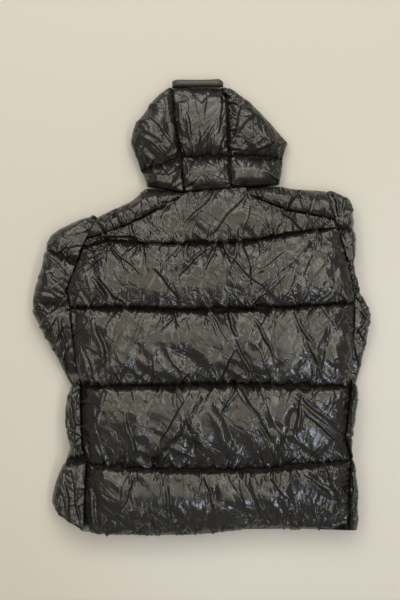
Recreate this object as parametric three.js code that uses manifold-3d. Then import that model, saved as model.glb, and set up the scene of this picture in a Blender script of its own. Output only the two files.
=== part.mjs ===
// Hooded puffer jacket, laid on its front with the hood up and both sleeves folded beneath.
// Millimetres. X runs across the back, Y from the hem to the hood, Z up from the surface it lies on.
// Left and right are the wearer's: seen from above, the left sleeve is on the -X side.
import * as THREE from 'three';
import Module from 'manifold-3d';

const wasm = await Module();
wasm.setup();
const { Manifold, Mesh: SolidMesh } = wasm;

// ---- Driving sizes ----
const SEAM_GAP = 0.3; // clearance between two pieces at a seam
const FRONT_LOFT = 30; // padded thickness of the fronts, the layer that lies on the surface
const TUCKED_LOFT = 23; // pressed thickness of a sleeve where the body lies on it
const TUCKED_PINCH = 5; // how far a quilt line draws in a tucked sleeve
const OPEN_PINCH = 9; // and a sleeve that lies free
const HOOD_FOLD_LOFT = 14; // thickness of the hood sides where they are folded beneath
const CREST = { yoke: 72, upper: 83, middle: 88, lower: 87, hem: 80 }; // height of each quilted row
const QUILT_VALLEY = 55; // height of the back at a quilt line
const YOKE_SEAM = 52; // height of the back at the yoke and neck seams
const HEM_LIFT = 16; // height to which the padding of the fronts draws up at their hem
const HEM_EDGE = 39; // height of the back's hem edge
const SIDE_VALLEY = 37; // height of the side seam at a quilt line
const SIDE_CREST = 46; // height of the side seam between two quilt lines
const SIDE_ROUND = 72; // distance over which the back rises from its side seams
const GATHER_HEIGHT = 3.6; // height of the gathers beside a quilt line
const GATHER_REACH = 13; // distance from the quilt line to the top of its gathers
const GATHER_PITCH = [37, 61]; // two spacings whose sum gives uneven gathers
const EDGE_ROUND = 14; // rounding of a padded edge where it leaves the surface
const OUTLINE_HEIGHT = 20; // height of the widest line of a padded edge
const ZIP_HALF = 7; // half width of the zip tape
const FACE_SLIT = 1.7; // half width of the slit where the hood's two front edges meet
const CUFF_SLIT = { height: 2, depth: 16, inset: 9 }; // opening of a sleeve pressed flat

// ---- Tables of seams and outlines, read from the top view ----
const rows = (names, values) => values.map((v) => Object.fromEntries(names.map((n, i) => [n, v[i]])));

// Upper edge of the back: left yoke seam, neck seam, right yoke seam, with columns up to the next point.
const BACK_TOP = rows(['x', 'y', 'columns'], [
  [-229, 134, 5], [-188, 144, 8], [-114, 177, 8], [-44, 215, 1], [-40, 220.3, 1],
  [-36, 225.6, 7], [27, 231.6, 6], [86, 237.1, 1], [90, 228.5, 1], [94, 221, 8], [168, 190, 5], [212, 182, 6], [264, 171, 0]]);
const BACK_LEFT = rows(['y', 'x'], [[134, -229], [115, -238], [77, -252], [31, -270], [-3, -262],
  [-103, -254], [-161, -242], [-245, -240], [-283, -238], [-311, -230], [-399, -234], [-449, -234]]);
const BACK_RIGHT = rows(['y', 'x'], [[171, 264], [155, 270], [111, 284], [79, 292], [37, 303], [7, 304],
  [-67, 303], [-157, 298], [-195, 294], [-261, 286], [-307, 298], [-347, 294], [-445, 294]]);
const QUILT_LINES = [
  rows(['x', 'y'], [[-238, 115], [-188, 132], [-142, 127], [-70, 123], [0, 126], [54, 125], [108, 131],
    [168, 143], [224, 151], [270, 155]]),
  rows(['x', 'y'], [[-262, -3], [-134, -3], [-58, -7], [36, -6], [84, -5], [186, -1], [262, 5], [304, 7]]),
  rows(['x', 'y'], [[-242, -159], [-134, -157], [-46, -157], [60, -153], [174, -157], [298, -159]]),
  rows(['x', 'y'], [[-230, -313], [-186, -319], [-122, -323], [36, -325], [124, -323], [200, -315],
    [298, -307]])];
const HEM = rows(['x', 'y'], [[-234, -449], [-206, -456], [-32, -457], [36, -451], [72, -447], [110, -440],
  [200, -444], [294, -445]]);
const ROW_STEPS = [0, 0.06, 0.17, 0.32, 0.5, 0.68, 0.83, 0.94];

// Largest folds of the back, each a groove from one point to another.
const BACK_FOLDS = rows(['x1', 'y1', 'x2', 'y2', 'depth', 'half'], [
  [28, 232, -44, 163, 6, 11], [-98, 77, -48, 13, 7, 11], [20, 119, -48, 53, 6, 11],
  [42, 111, 122, 33, 5, 10], [168, 115, 98, 65, 5, 10], [262, 37, 216, 5, 8, 12],
  [-212, -27, -184, -117, 10, 12], [48, -9, 108, -153, 6, 11], [98, -23, 140, -105, 5, 10],
  [-198, -163, -224, -247, 8, 12], [-24, -161, -104, -287, 6, 12], [194, -165, 286, -261, 8, 12],
  [182, -197, 176, -247, 7, 11], [-134, -337, -160, -407, 6, 11], [72, -347, 96, -427, 6, 11],
  [-218, -357, -210, -447, 6, 10]]);

// Each front beyond the side seam: the outline reached from a height on the seam. wrap is 0 where the
// sleeve lies beside the seam and 1 where the front rounds up to it.
const SIDE_COLUMNS = ['seamY', 'outX', 'outY', 'wrap'];
const LEFT_SIDE = rows(SIDE_COLUMNS, [[-135, -248, -135, 0], [-161, -264, -160, 1], [-187, -272, -187, 1],
  [-237, -274, -237, 1], [-263, -270, -263, 1], [-285, -266, -287, 1], [-311, -279, -315, 1],
  [-355, -294, -350, 1], [-391, -301, -378, 1], [-420, -302, -392, 1], [-449, -297, -405, 1]]);
const RIGHT_SIDE = rows(SIDE_COLUMNS, [[-135, 300, -135, 0], [-159, 311, -158, 1], [-179, 314, -179, 1],
  [-211, 310, -211, 1], [-267, 302, -267, 1], [-287, 300, -287, 1], [-307, 305, -306, 1],
  [-319, 308, -319, 1], [-367, 312, -367, 1], [-427, 314, -427, 1], [-445, 310, -444, 1]]);
const ZIP_TOP = { x: 29, y: 231 };
const ZIP_END = { x: 5, y: -447 };
// Upper edge of each front, from the armhole below the shoulder piece to the neck and the zip.
const LEFT_FRONT_TOP = rows(['x', 'y'], [[-229, 134], [-140, 152], [-53.2, 175.6], [-39.8, 226.3], [21.7, 231.3]]);
const RIGHT_FRONT_TOP = rows(['x', 'y'], [[264, 171], [178, 168], [105, 182.2], [89.5, 237], [36.3, 232.6]]);

// Shoulder pieces: from the yoke seam over the shoulder to the front. round is the fold's rounding,
// small where the piece meets the hood.
const SHOULDER_COLUMNS = ['seamX', 'outX', 'outY', 'inX', 'inY', 'round'];
const LEFT_SHOULDER = rows(SHOULDER_COLUMNS, [[-229, -209, 180, -228, 135, 14], [-188, -170, 196, -186, 143.5, 14],
  [-151, -140, 211, -140, 152.7, 14], [-114, -113, 237, -100, 164, 8], [-79, -79, 233.6, -76, 170.8, 2],
  [-44, -45, 227.6, -54.4, 177, 2], [-40, -40.6, 226.7, -54, 177.6, 1.5]]);
const RIGHT_SHOULDER = rows(SHOULDER_COLUMNS, [[90, 90.6, 237.4, 106, 183.6, 1.5], [94, 96, 238, 106.4, 183, 2], [131, 126, 240.6, 130, 177.8, 2],
  [168, 157, 240, 178, 169, 8], [190, 184, 235, 196, 169.3, 14], [212, 208, 234, 214, 170, 14],
  [264, 247, 233, 263.4, 172, 14]]);

// Sleeves: each section runs from the outline (out) to the seam it comes out of, then beneath the
// front to its inner edge (in). seamY is the height of that section on the armhole or side seam.
// under is 1 where the sleeve goes beneath the front; pinch is 1 on one of its quilt lines.
const SLEEVE_COLUMNS = ['seamY', 'outX', 'outY', 'inX', 'inY', 'height', 'under', 'pinch'];
const LEFT_SLEEVE = rows(SLEEVE_COLUMNS, [
  [178, -217, 182, -209, 178, 40, 0, 0.3], [166, -236, 178, -214, 166, 50, 0, 0], [152, -256, 170, -220, 152, 55, 0, 0],
  [134, -287, 156, -228, 134, 58, 0, 0], [115, -304, 143, -238, 115, 58, 0, 0.1], [95, -312, 128, -236, 97, 56, 1, 0.4],
  [83, -315, 115, -215, 95, 54, 1, 1], [70, -318, 104, -196, 92, 56, 1, 0.2], [52, -321, 82, -189, 88, 58, 1, 0.1],
  [31, -336, 36, -185, 83, 56, 1, 0], [14, -340, 14, -182, 80, 52, 1, 0.3], [-3, -340, -2, -176, 70, 44, 1, 1],
  [-20, -337, -18, -170, 56, 50, 1, 0.2], [-45, -326, -42, -157, 32, 49, 1, 0], [-75, -309, -74, -140, 0, 44, 1, 0],
  [-103, -293, -102, -123, -34, 38, 1, 0.2], [-122, -282, -124, -112, -56, 30, 1, 0], [-132, -277, -134, -108, -64, 23, 1, 0],
  [-161, -262, -162, -94, -90, 23, 1, 0]]);
const LEFT_FOREARM = rows(['outX', 'outY', 'inX', 'inY', 'pinch'], [[-250, -185, -84, -112, 0],
  [-232, -218, -72, -142, 1], [-216, -248, -66, -172, 0], [-192, -292, -58, -220, 0], [-170, -333, -51, -270, 1],
  [-156, -360, -46, -304, 0], [-140, -389, -42, -339, 0.6]]);
const RIGHT_SLEEVE = rows(SLEEVE_COLUMNS, [
  [229, 256, 233, 248, 229, 40, 0, 0.3], [220, 276, 227, 250, 220, 50, 0, 0], [206, 295, 217, 254, 206, 54, 0, 0],
  [190, 303, 200, 258, 190, 56, 0, 0], [171, 305, 175, 263, 171, 56, 0, 0.1], [155, 307, 155, 269, 155, 52, 0, 0.9],
  [133, 310, 134, 262, 134, 52, 1, 0.1], [111, 309, 112, 232, 116, 52, 1, 0], [79, 306, 80, 200, 84, 50, 1, 0],
  [52, 311, 51, 180, 54, 48, 1, 0], [30, 318, 28, 172, 30, 45, 1, 0.2], [7, 325, 8, 166, 6, 40, 1, 1],
  [-12, 340, -14, 164, -16, 46, 1, 0.2], [-40, 335, -42, 163, -44, 44, 1, 0], [-67, 331, -68, 162, -72, 40, 1, 0],
  [-100, 325, -101, 161, -104, 34, 1, 0.2], [-122, 320, -123, 160, -126, 28, 1, 0], [-132, 317, -133, 160, -136, 23, 1, 0],
  [-157, 310, -158, 158, -162, 23, 1, 0]]);
const RIGHT_FOREARM = rows(['outX', 'outY', 'inX', 'inY', 'pinch'], [[304, -190, 157, -196, 0],
  [298, -226, 156, -232, 1], [293, -258, 155, -262, 0], [284, -306, 153, -306, 0], [277, -348, 152, -342, 1],
  [270, -384, 151, -370, 0], [262, -425, 150, -399, 0.6]]);

// Hood: sections from the brim to the neck, each from a seam of the centre strip to the fold of a side.
const HOOD = rows(['leftX', 'leftY', 'foldLeftX', 'foldLeftY', 'rightX', 'rightY', 'foldRightX', 'foldRightY', 'crest',
  'seam', 'loose'], [
  [-59.5, 438, -69, 439, 38, 438, 47, 441, 36, 33, 0], [-59, 428, -88, 425, 44, 428, 66, 434, 47, 40, 0.4],
  [-58, 415, -104, 405, 49, 416, 86, 418, 54, 45, 0.8], [-57, 402, -120, 384, 50, 402, 106, 401, 58, 48, 1],
  [-56, 388, -136, 363, 51, 388, 126, 381, 61, 50, 1], [-54, 370, -141, 346, 51.7, 372, 146, 359, 63, 51, 0.8],
  [-52, 352, -144, 331, 52, 354, 162, 342, 63, 51, 0.7], [-48, 334, -142, 322, 52.4, 336, 175, 328, 61, 50, 0.9],
  [-45, 318, -134, 305, 52.7, 320, 167, 314, 55, 47, 1], [-43, 306, -126, 287, 53, 309, 164, 304, 47, 43, 0.8],
  [-42, 298, -120, 270, 53, 302, 163, 297, 38, 37, 0], [-41, 288, -118, 262, 53.5, 292, 163, 287, 50, 44, 1],
  [-39, 268, -115, 254, 54, 272, 161, 270, 58, 48, 0.8], [-37, 248, -113, 246, 56, 254, 158, 256, 55, 46, 0.4],
  [-34.5, 227, -112, 240.8, 58, 235.7, 156, 244.6, 44, 42, 0]]);
const HOOD_BAND = rows(['x', 'low', 'high', 'top'], [[-60, 439, 453, 34], [-50, 439.5, 455.5, 40], [-8, 439.5, 454.5, 42],
  [22, 439.5, 455.5, 42], [35, 440, 457, 40], [43, 441.5, 451, 34]]);

// ---- Working functions ----
const mix = (a, b, t) => a + (b - a) * t;
const between = (value, low, high) => Math.min(high, Math.max(low, value));

// Value of a table's column at a place along another column, straight between rows.
function read(table, along, place, column) {
  const rising = table[table.length - 1][along] > table[0][along];
  let i = 0;
  while (i < table.length - 2 && (rising ? table[i + 1][along] < place : table[i + 1][along] > place)) i += 1;
  const span = table[i + 1][along] - table[i][along];
  return mix(table[i][column], table[i + 1][column], between((place - table[i][along]) / span, 0, 1));
}

// Point of a polyline at a share of its width in x.
function acrossLine(line, share) {
  const x = mix(line[0].x, line[line.length - 1].x, share);
  return { x, y: read(line, 'x', x, 'y') };
}

// Point inside four edges: top and bottom at share u, left and right at share t.
function inside(top, bottom, left, right, corners, u, t) {
  const blend = (k) => mix(top[k], bottom[k], t) + mix(left[k], right[k], u)
    - mix(mix(corners[0][k], corners[1][k], u), mix(corners[2][k], corners[3][k], u), t);
  return { x: blend('x'), y: blend('y') };
}

const pointAlong = (a, b, distance) => {
  const length = Math.max(Math.hypot(b.x - a.x, b.y - a.y), 1e-9);
  return { x: mix(a.x, b.x, distance / length), y: mix(a.y, b.y, distance / length) };
};

// Depth of the listed folds at a point.
function foldDepth(folds, p) {
  let depth = 0;
  for (const f of folds) {
    const dx = f.x2 - f.x1;
    const dy = f.y2 - f.y1;
    const along = between(((p.x - f.x1) * dx + (p.y - f.y1) * dy) / (dx * dx + dy * dy), 0, 1);
    const away = Math.hypot(p.x - f.x1 - along * dx, p.y - f.y1 - along * dy);
    depth += f.depth * Math.exp(-((away / f.half) ** 2));
  }
  return depth;
}

// Height of the gathers at a distance from a quilt line; seed shifts them from line to line.
function gathers(x, distance, seed) {
  const reach = distance / GATHER_REACH;
  const wave = 0.6 * Math.sin((2 * Math.PI * x) / GATHER_PITCH[0] + seed * 2.1)
    + 0.4 * Math.sin((2 * Math.PI * x) / GATHER_PITCH[1] + seed * 1.3);
  return GATHER_HEIGHT * wave * reach * Math.exp(1 - reach);
}

// Roundness of padding between two seams, 0 at both and 1 between.
const puff = (t) => Math.sin(Math.PI * between(t, 0, 1)) ** 0.6;

// A closed body through sections. Each section is a wall: an outer and an inner line of points with
// the same span of q, joined at both ends. The first and last sections are closed over.
function loft(sections) {
  const outerCount = sections[0].outer.length;
  const count = outerCount + sections[0].inner.length;
  const positions = [];
  const faces = [];
  for (const s of sections) {
    for (const p of [...s.outer, ...[...s.inner].reverse()]) positions.push(p.x, p.y, p.z);
  }
  for (let i = 0; i + 1 < sections.length; i += 1) {
    for (let j = 0; j < count; j += 1) {
      const a = i * count + j;
      const b = i * count + ((j + 1) % count);
      faces.push([a, b, b + count], [a, b + count, a + count]);
    }
  }
  const close = (section, base, forward) => {
    const innerAt = (j) => base + count - 1 - j;
    let i = 0;
    let j = 0;
    while (i < section.outer.length - 1 || j < section.inner.length - 1) {
      const outerNext = i < section.outer.length - 1 ? section.outer[i + 1].q : Infinity;
      const innerNext = j < section.inner.length - 1 ? section.inner[j + 1].q : Infinity;
      let face;
      if (outerNext <= innerNext) {
        face = [base + i, base + i + 1, innerAt(j)];
        i += 1;
      } else {
        face = [innerAt(j + 1), innerAt(j), base + i];
        j += 1;
      }
      faces.push(forward ? face : face.reverse());
    }
  };
  close(sections[0], 0, false);
  close(sections[sections.length - 1], (sections.length - 1) * count, true);
  let volume = 0;
  const at = (k) => new THREE.Vector3().fromArray(positions, 3 * k);
  for (const [a, b, c] of faces) volume += at(a).dot(at(b).clone().cross(at(c)));
  const index = faces.flatMap((f) => (volume < 0 ? [...f].reverse() : f));
  return new Manifold(new SolidMesh({ numProp: 3, vertProperties: new Float32Array(positions), triVerts: new Uint32Array(index) }));
}

function geometryOf(solid) {
  const mesh = solid.getMesh();
  const geometry = new THREE.BufferGeometry();
  geometry.setAttribute('position', new THREE.Float32BufferAttribute(Float32Array.from(mesh.vertProperties), 3));
  geometry.setIndex(new THREE.Uint32BufferAttribute(Uint32Array.from(mesh.triVerts), 1));
  geometry.computeVertexNormals();
  return geometry;
}

// ---- Back: five quilted rows between the yoke seams and the hem ----
const backColumns = [];
for (let i = 0; i + 1 < BACK_TOP.length; i += 1) {
  for (let k = 0; k < BACK_TOP[i].columns; k += 1) {
    backColumns.push({ x: mix(BACK_TOP[i].x, BACK_TOP[i + 1].x, k / BACK_TOP[i].columns), corner: k === 0 });
  }
}
backColumns.push({ x: BACK_TOP[BACK_TOP.length - 1].x, corner: true });
const topLeft = BACK_TOP[0];
const topRight = BACK_TOP[BACK_TOP.length - 1];
for (const c of backColumns) c.share = (c.x - topLeft.x) / (topRight.x - topLeft.x);

const backLines = [BACK_TOP, ...QUILT_LINES, HEM];
const rowCrests = [CREST.yoke, CREST.upper, CREST.middle, CREST.lower, CREST.hem];
const backRows = [];
for (let k = 0; k < rowCrests.length; k += 1) {
  for (const t of ROW_STEPS) backRows.push({ row: k, t });
}
backRows.push({ row: rowCrests.length - 1, t: 1 });

const edgePoint = (edge, lines, end, row, t) => {
  const y = mix(end(lines[row]).y, end(lines[row + 1]).y, t);
  return { x: read(edge, 'y', y, 'x'), y };
};
const first = (line) => line[0];
const last = (line) => line[line.length - 1];
for (const r of backRows) {
  r.left = edgePoint(BACK_LEFT, backLines, first, r.row, r.t);
  r.right = edgePoint(BACK_RIGHT, backLines, last, r.row, r.t);
}

function backPoint(r, share) {
  const above = backLines[r.row];
  const below = backLines[r.row + 1];
  const corners = [first(above), last(above), first(below), last(below)];
  return inside(acrossLine(above, share), acrossLine(below, share), r.left, r.right, corners, share, r.t);
}

function backHeight(r, p, share) {
  const lineAbove = r.row === 0 ? YOKE_SEAM : QUILT_VALLEY;
  const lineBelow = r.row === rowCrests.length - 1 ? HEM_EDGE : QUILT_VALLEY;
  const rounded = puff(r.t);
  const middle = mix(mix(lineAbove, lineBelow, r.t), rowCrests[r.row], rounded);
  const side = mix(SIDE_VALLEY, SIDE_CREST, rounded);
  const fromSide = Math.min(p.x - r.left.x, r.right.x - p.x);
  const rise = Math.sqrt(1 - (1 - between(fromSide / SIDE_ROUND, 0, 1)) ** 2);
  const above = acrossLine(backLines[r.row], share).y - p.y;
  const below = p.y - acrossLine(backLines[r.row + 1], share).y;
  const soft = rounded * rise;
  return mix(side, middle, rise) - foldDepth(BACK_FOLDS, p) * soft
    + (gathers(p.x, Math.max(above, 0), r.row) + gathers(p.x, Math.max(below, 0), r.row + 1)) * rise;
}

const back = loft(backRows.map((r) => ({
  outer: backColumns.map((c) => {
    const p = backPoint(r, c.share);
    return { ...p, z: backHeight(r, p, c.share), q: c.share };
  }),
  inner: backColumns.filter((c) => c.corner).map((c) => ({
    ...backPoint(r, c.share), z: FRONT_LOFT + SEAM_GAP, q: c.share,
  })),
})));

// ---- Fronts: the layer beneath, from the zip round the side up to the side seam ----
const zipAt = (t, side) => ({
  x: mix(ZIP_TOP.x, ZIP_END.x, t) + side * (ZIP_HALF + SEAM_GAP),
  y: mix(ZIP_TOP.y, ZIP_END.y, t),
});

function frontSections(edge, sideTable, topLine, outward) {
  const seams = backRows.map((r) => r[edge]);
  const hemSeam = last(seams);
  const hemZip = zipAt(1, outward);
  const shares = topLine.map((p) => (p.x - topLine[0].x) / (last(topLine).x - topLine[0].x));
  const corners = [topLine[0], last(topLine), hemSeam, hemZip];
  const topZip = last(topLine);
  return seams.map((seam) => {
    const t = (seams[0].y - seam.y) / (seams[0].y - hemSeam.y);
    const zip = { x: mix(topZip.x, hemZip.x, t), y: mix(topZip.y, hemZip.y, t) };
    const panel = shares.map((u, i) => {
      const bottom = { x: mix(hemSeam.x, hemZip.x, u), y: mix(hemSeam.y, hemZip.y, u) };
      return { ...inside(topLine[i], bottom, seam, zip, corners, u, t), q: u };
    });
    const inTable = seam.y <= sideTable[0].seamY;
    const wrap = inTable ? read(sideTable, 'seamY', seam.y, 'wrap') : 0;
    const out = { x: seam.x, y: seam.y };
    if (inTable && wrap > 0) {
      out.x = mix(seam.x, read(sideTable, 'seamY', seam.y, 'outX'), wrap);
      out.y = mix(seam.y, read(sideTable, 'seamY', seam.y, 'outY'), wrap);
    }
    const wall = { x: seam.x + outward * SEAM_GAP * wrap, y: seam.y };
    const row = backRows[seams.indexOf(seam)];
    const seamHeight = mix(SIDE_VALLEY, SIDE_CREST, puff(row.t));
    const edgeRise = [
      { share: 0, flat: 20, full: OUTLINE_HEIGHT }, { share: 0.12, flat: 23, full: 0.78 * seamHeight },
      { share: 0.45, flat: 25, full: 0.98 * seamHeight }, { share: 0.8, flat: 27, full: 1.02 * seamHeight },
      { share: 1, flat: 28.5, full: seamHeight - 1 }];
    const outer = edgeRise.map((e) => ({
      x: mix(out.x, wall.x, e.share), y: mix(out.y, wall.y, e.share), z: mix(e.flat, e.full, wrap), q: -0.5 + 0.4 * e.share,
    }));
    outer.push({ ...wall, z: FRONT_LOFT, q: 0 });
    const top = panel.slice(1).map((p) => ({ x: p.x, y: p.y, z: FRONT_LOFT, q: p.q }));
    const floorStart = pointAlong(out, panel[1], EDGE_ROUND);
    const nearOut = pointAlong(out, panel[1], 3.5);
    const floor = panel.slice(1, -1).map((p) => ({ x: p.x, y: p.y, z: 0, q: p.q }));
    const fromHem = seam.y - hemSeam.y;
    const lift = HEM_LIFT * Math.max(0, 1 - fromHem / 11) ** 2;
    const zipEdge = last(panel);
    const beforeZip = panel[panel.length - 2];
    const inner = [{ ...out, z: OUTLINE_HEIGHT - 3, q: -0.5 }, { ...nearOut, z: 6, q: -0.4 }, { ...floorStart, z: 0, q: -0.2 },
      ...floor, { ...pointAlong(zipEdge, beforeZip, 15), z: 0, q: 0.97 }, { ...pointAlong(zipEdge, beforeZip, 4), z: 9, q: 0.99 },
      { x: zipEdge.x, y: zipEdge.y, z: 23, q: 1 }].map((p) => ({ ...p, z: Math.max(p.z, lift) }));
    return { outer: [...outer, ...top], inner };
  });
}

// ---- Sleeves ----
// One section of a sleeve. The part between out and seam is seen; from seam to inEdge it is pressed
// beneath the front to the tucked thickness.
function sleeveSection(out, seam, inEdge, height, pinch) {
  const low = TUCKED_LOFT - TUCKED_PINCH * pinch;
  const high = Math.max(height - (height > TUCKED_LOFT + 2 ? OPEN_PINCH : TUCKED_PINCH) * pinch, low + 0.2);
  const level = between(high * 0.42, 9, OUTLINE_HEIGHT);
  const onTop = [
    { share: 0, z: level + 1.5 }, { share: 0.07, z: mix(level, high, 0.62) }, { share: 0.24, z: mix(level, high, 0.94) },
    { share: 0.5, z: high }, { share: 0.78, z: mix(low, high, 0.95) }, { share: 1, z: mix(low, high, 0.86) }];
  const outer = onTop.map((p) => ({ x: mix(out.x, seam.x, p.share), y: mix(out.y, seam.y, p.share), z: p.z, q: p.share }));
  const width = Math.hypot(inEdge.x - seam.x, inEdge.y - seam.y);
  const round = Math.min(5, width * 0.3);
  const shoulder = pointAlong(inEdge, seam, round);
  outer.push({ ...seam, z: low, q: 1.01 });
  outer.push({ x: mix(seam.x, shoulder.x, 0.5), y: mix(seam.y, shoulder.y, 0.5), z: low - 0.05, q: 1.5 });
  outer.push({ ...shoulder, z: low - 2, q: 1.9 });
  outer.push({ ...inEdge, z: low * 0.55, q: 2 });
  const foot = Math.min(EDGE_ROUND, Math.hypot(seam.x - out.x, seam.y - out.y) * 0.6 + width * 0.25);
  const inner = [
    { ...out, z: level - 1.5, q: 0 }, { ...pointAlong(out, seam, foot * 0.25), z: level * 0.3, q: 0.1 },
    { ...pointAlong(out, seam, foot), z: 0, q: 0.3 }, { x: mix(seam.x, inEdge.x, 0.3), y: mix(seam.y, inEdge.y, 0.3), z: 0, q: 1.3 },
    { ...pointAlong(inEdge, seam, round * 2), z: 0, q: 1.8 }, { ...inEdge, z: low * 0.25, q: 2 }];
  return { outer, inner };
}

// Space kept clear in the fronts for a tucked sleeve: wider and higher than the sleeve by the seam gap.
function bedSection(out, seam, inEdge, pinch, outward) {
  const tucked = Math.hypot(inEdge.x - seam.x, inEdge.y - seam.y) > 0.5;
  const far = tucked ? pointAlong(inEdge, seam, -1.2 * SEAM_GAP) : { x: seam.x - outward * 0.1, y: seam.y };
  const near = pointAlong(out, seam, -1.2 * SEAM_GAP);
  const middle = tucked ? seam : { x: mix(near.x, far.x, 0.5), y: mix(near.y, far.y, 0.5) };
  const top = TUCKED_LOFT - TUCKED_PINCH * pinch + 0.2 + SEAM_GAP;
  const line = (z) => [{ ...near, z, q: 0 }, { ...middle, z, q: 1 }, { ...far, z, q: 2 }];
  return { outer: line(top), inner: line(-1) };
}

function sleeve(edge, armTop, table, forearm, outward) {
  const seams = [];
  for (const share of [0.04, 0.3, 0.65]) {
    seams.push({ x: mix(armTop.x, backRows[0][edge].x, share), y: mix(armTop.y, backRows[0][edge].y, share) });
  }
  const lastSeam = last(table).seamY;
  for (const r of backRows) {
    const yokeRow = r.row === 0 && ![0, 0.5].includes(r.t);
    if (!yokeRow && r[edge].y >= lastSeam - 1) seams.push(r[edge]);
  }
  const stations = seams.map((s) => {
    const value = (column) => read(table, 'seamY', s.y, column);
    const seam = { x: s.x + outward * SEAM_GAP, y: s.y };
    const under = value('under');
    const inner = { x: mix(seam.x, value('inX'), under), y: mix(seam.y, value('inY'), under) };
    return { out: { x: value('outX'), y: value('outY') }, seam, inEdge: inner, height: value('height'), pinch: value('pinch') };
  });
  for (const f of forearm) {
    const out = { x: f.outX, y: f.outY };
    const inEdge = { x: f.inX, y: f.inY };
    stations.push({ out, seam: { x: mix(out.x, inEdge.x, 0.25), y: mix(out.y, inEdge.y, 0.25) }, inEdge, height: TUCKED_LOFT, pinch: f.pinch });
  }
  const body = loft(stations.map((s) => sleeveSection(s.out, s.seam, s.inEdge, s.height, s.pinch)));
  const bed = loft(stations.filter((s, i) => i > 1).map((s) => bedSection(s.out, s.seam, s.inEdge, s.pinch, outward)));
  const cuff = last(stations);
  const across = { x: cuff.inEdge.x - cuff.out.x, y: cuff.inEdge.y - cuff.out.y };
  const width = Math.hypot(across.x, across.y);
  const slit = Manifold.cube([width - 2 * CUFF_SLIT.inset, 2 * CUFF_SLIT.depth, CUFF_SLIT.height], true)
    .rotate([0, 0, (Math.atan2(across.y, across.x) * 180) / Math.PI])
    .translate([(cuff.out.x + cuff.inEdge.x) / 2, (cuff.out.y + cuff.inEdge.y) / 2, 9]);
  return { body: body.subtract(slit), bed };
}

// ---- Shoulder pieces and hood sides: a wall folded round an edge, with a thin gap between its two layers ----
function foldedSection(seam, fold, inEdge, heights, layer, round) {
  const length = Math.hypot(fold.x - seam.x, fold.y - seam.y);
  const turn = Math.min(round, length * 0.45);
  const level = Math.min(OUTLINE_HEIGHT, heights.crest * 0.45);
  const wave = heights.wave ?? (() => 0);
  const shares = [0, 0.12, 0.28, 0.46, 0.64, 0.8, 0.92];
  const outer = shares.map((share) => {
    const rise = Math.sin(Math.PI * (0.06 + 0.88 * share)) ** 0.5;
    const fall = Math.sqrt(1 - between((share - 0.45) / 0.56, 0, 1) ** 2);
    const z = mix(heights.seam, heights.crest, share < 0.45 ? rise * between(share / 0.2, 0, 1) : 1);
    return { x: mix(seam.x, fold.x, share), y: mix(seam.y, fold.y, share), q: share * 0.8,
      z: mix(Math.min(heights.edge, z), z, fall) + wave(share) * rise };
  });
  outer.push({ ...fold, z: level, q: 1 });
  outer.push({ ...pointAlong(fold, inEdge, turn * 0.25), z: level * 0.25, q: 1.15 });
  outer.push({ ...pointAlong(fold, inEdge, turn), z: 0, q: 1.3 });
  outer.push({ ...inEdge, z: 0, q: 2 });
  const slit = Math.min(12, length * 0.4);
  const inner = [
    { ...seam, z: layer + SEAM_GAP, q: 0 }, { ...pointAlong(fold, seam, slit), z: layer + SEAM_GAP, q: 0.8 },
    { ...pointAlong(fold, inEdge, slit), z: layer, q: 1.25 }, { ...inEdge, z: layer, q: 2 }];
  return { outer, inner };
}

function shoulder(table, side) {
  const xs = backColumns.filter((c, i) => c.corner || i % 2 === 0).map((c) => c.x)
    .filter((x) => x >= table[0].seamX - 0.01 && x <= last(table).seamX + 0.01);
  const sections = xs.map((x) => {
    const value = (column) => read(table, 'seamX', x, column);
    const seam = { x, y: read(BACK_TOP, 'x', x, 'y') + SEAM_GAP * 1.2 };
    const atArm = (side < 0 ? x - table[0].seamX : last(table).seamX - x) < 45;
    const wave = (share) => 2.4 * Math.sin(x / 6.5 + share * 2) * (atArm ? 1 : 0.4);
    const heights = { seam: YOKE_SEAM - 2, crest: 62, edge: 34, wave };
    return foldedSection(seam, { x: value('outX'), y: value('outY') }, { x: value('inX'), y: value('inY') }, heights, FRONT_LOFT, value('round'));
  });
  return loft(sections);
}

const hoodMiddle = (h) => ({ x: (h.leftX + h.rightX) / 2, y: (h.leftY + h.rightY) / 2 });
function hoodSide(side, outward) {
  return loft(HOOD.map((h, i) => {
    const seam = { x: h[`${side}X`] + outward * SEAM_GAP, y: h[`${side}Y`] };
    const capital = side === 'left' ? 'Left' : 'Right';
    const fold = { x: h[`fold${capital}X`], y: h[`fold${capital}Y`] };
    const middle = hoodMiddle(h);
    const wave = (share) => 2.6 * h.loose * Math.sin(share * 11 + i * 1.3);
    const heights = { seam: h.seam, crest: h.crest, edge: Math.min(30, h.seam - 4), wave };
    return foldedSection(seam, fold, { x: middle.x + outward * FACE_SLIT, y: middle.y }, heights, HOOD_FOLD_LOFT, EDGE_ROUND);
  }));
}

const hoodCentre = loft(HOOD.map((h, i) => {
  const ends = [{ x: h.leftX, y: h.leftY }, { x: h.rightX, y: h.rightY }];
  const points = (shares, height) => shares.map((u) => ({ x: mix(ends[0].x, ends[1].x, u), y: mix(ends[0].y, ends[1].y, u), z: height(u), q: u }));
  const ridge = (u) => mix(h.seam, h.crest + 2, puff(u)) + 2.8 * h.loose * Math.sin(u * 12 + i * 0.25) * puff(u);
  return {
    outer: points([0, 0.06, 0.17, 0.3, 0.43, 0.57, 0.7, 0.83, 0.94, 1], ridge),
    inner: points([0, 0.5, 1], () => HOOD_FOLD_LOFT + SEAM_GAP),
  };
}));

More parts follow.
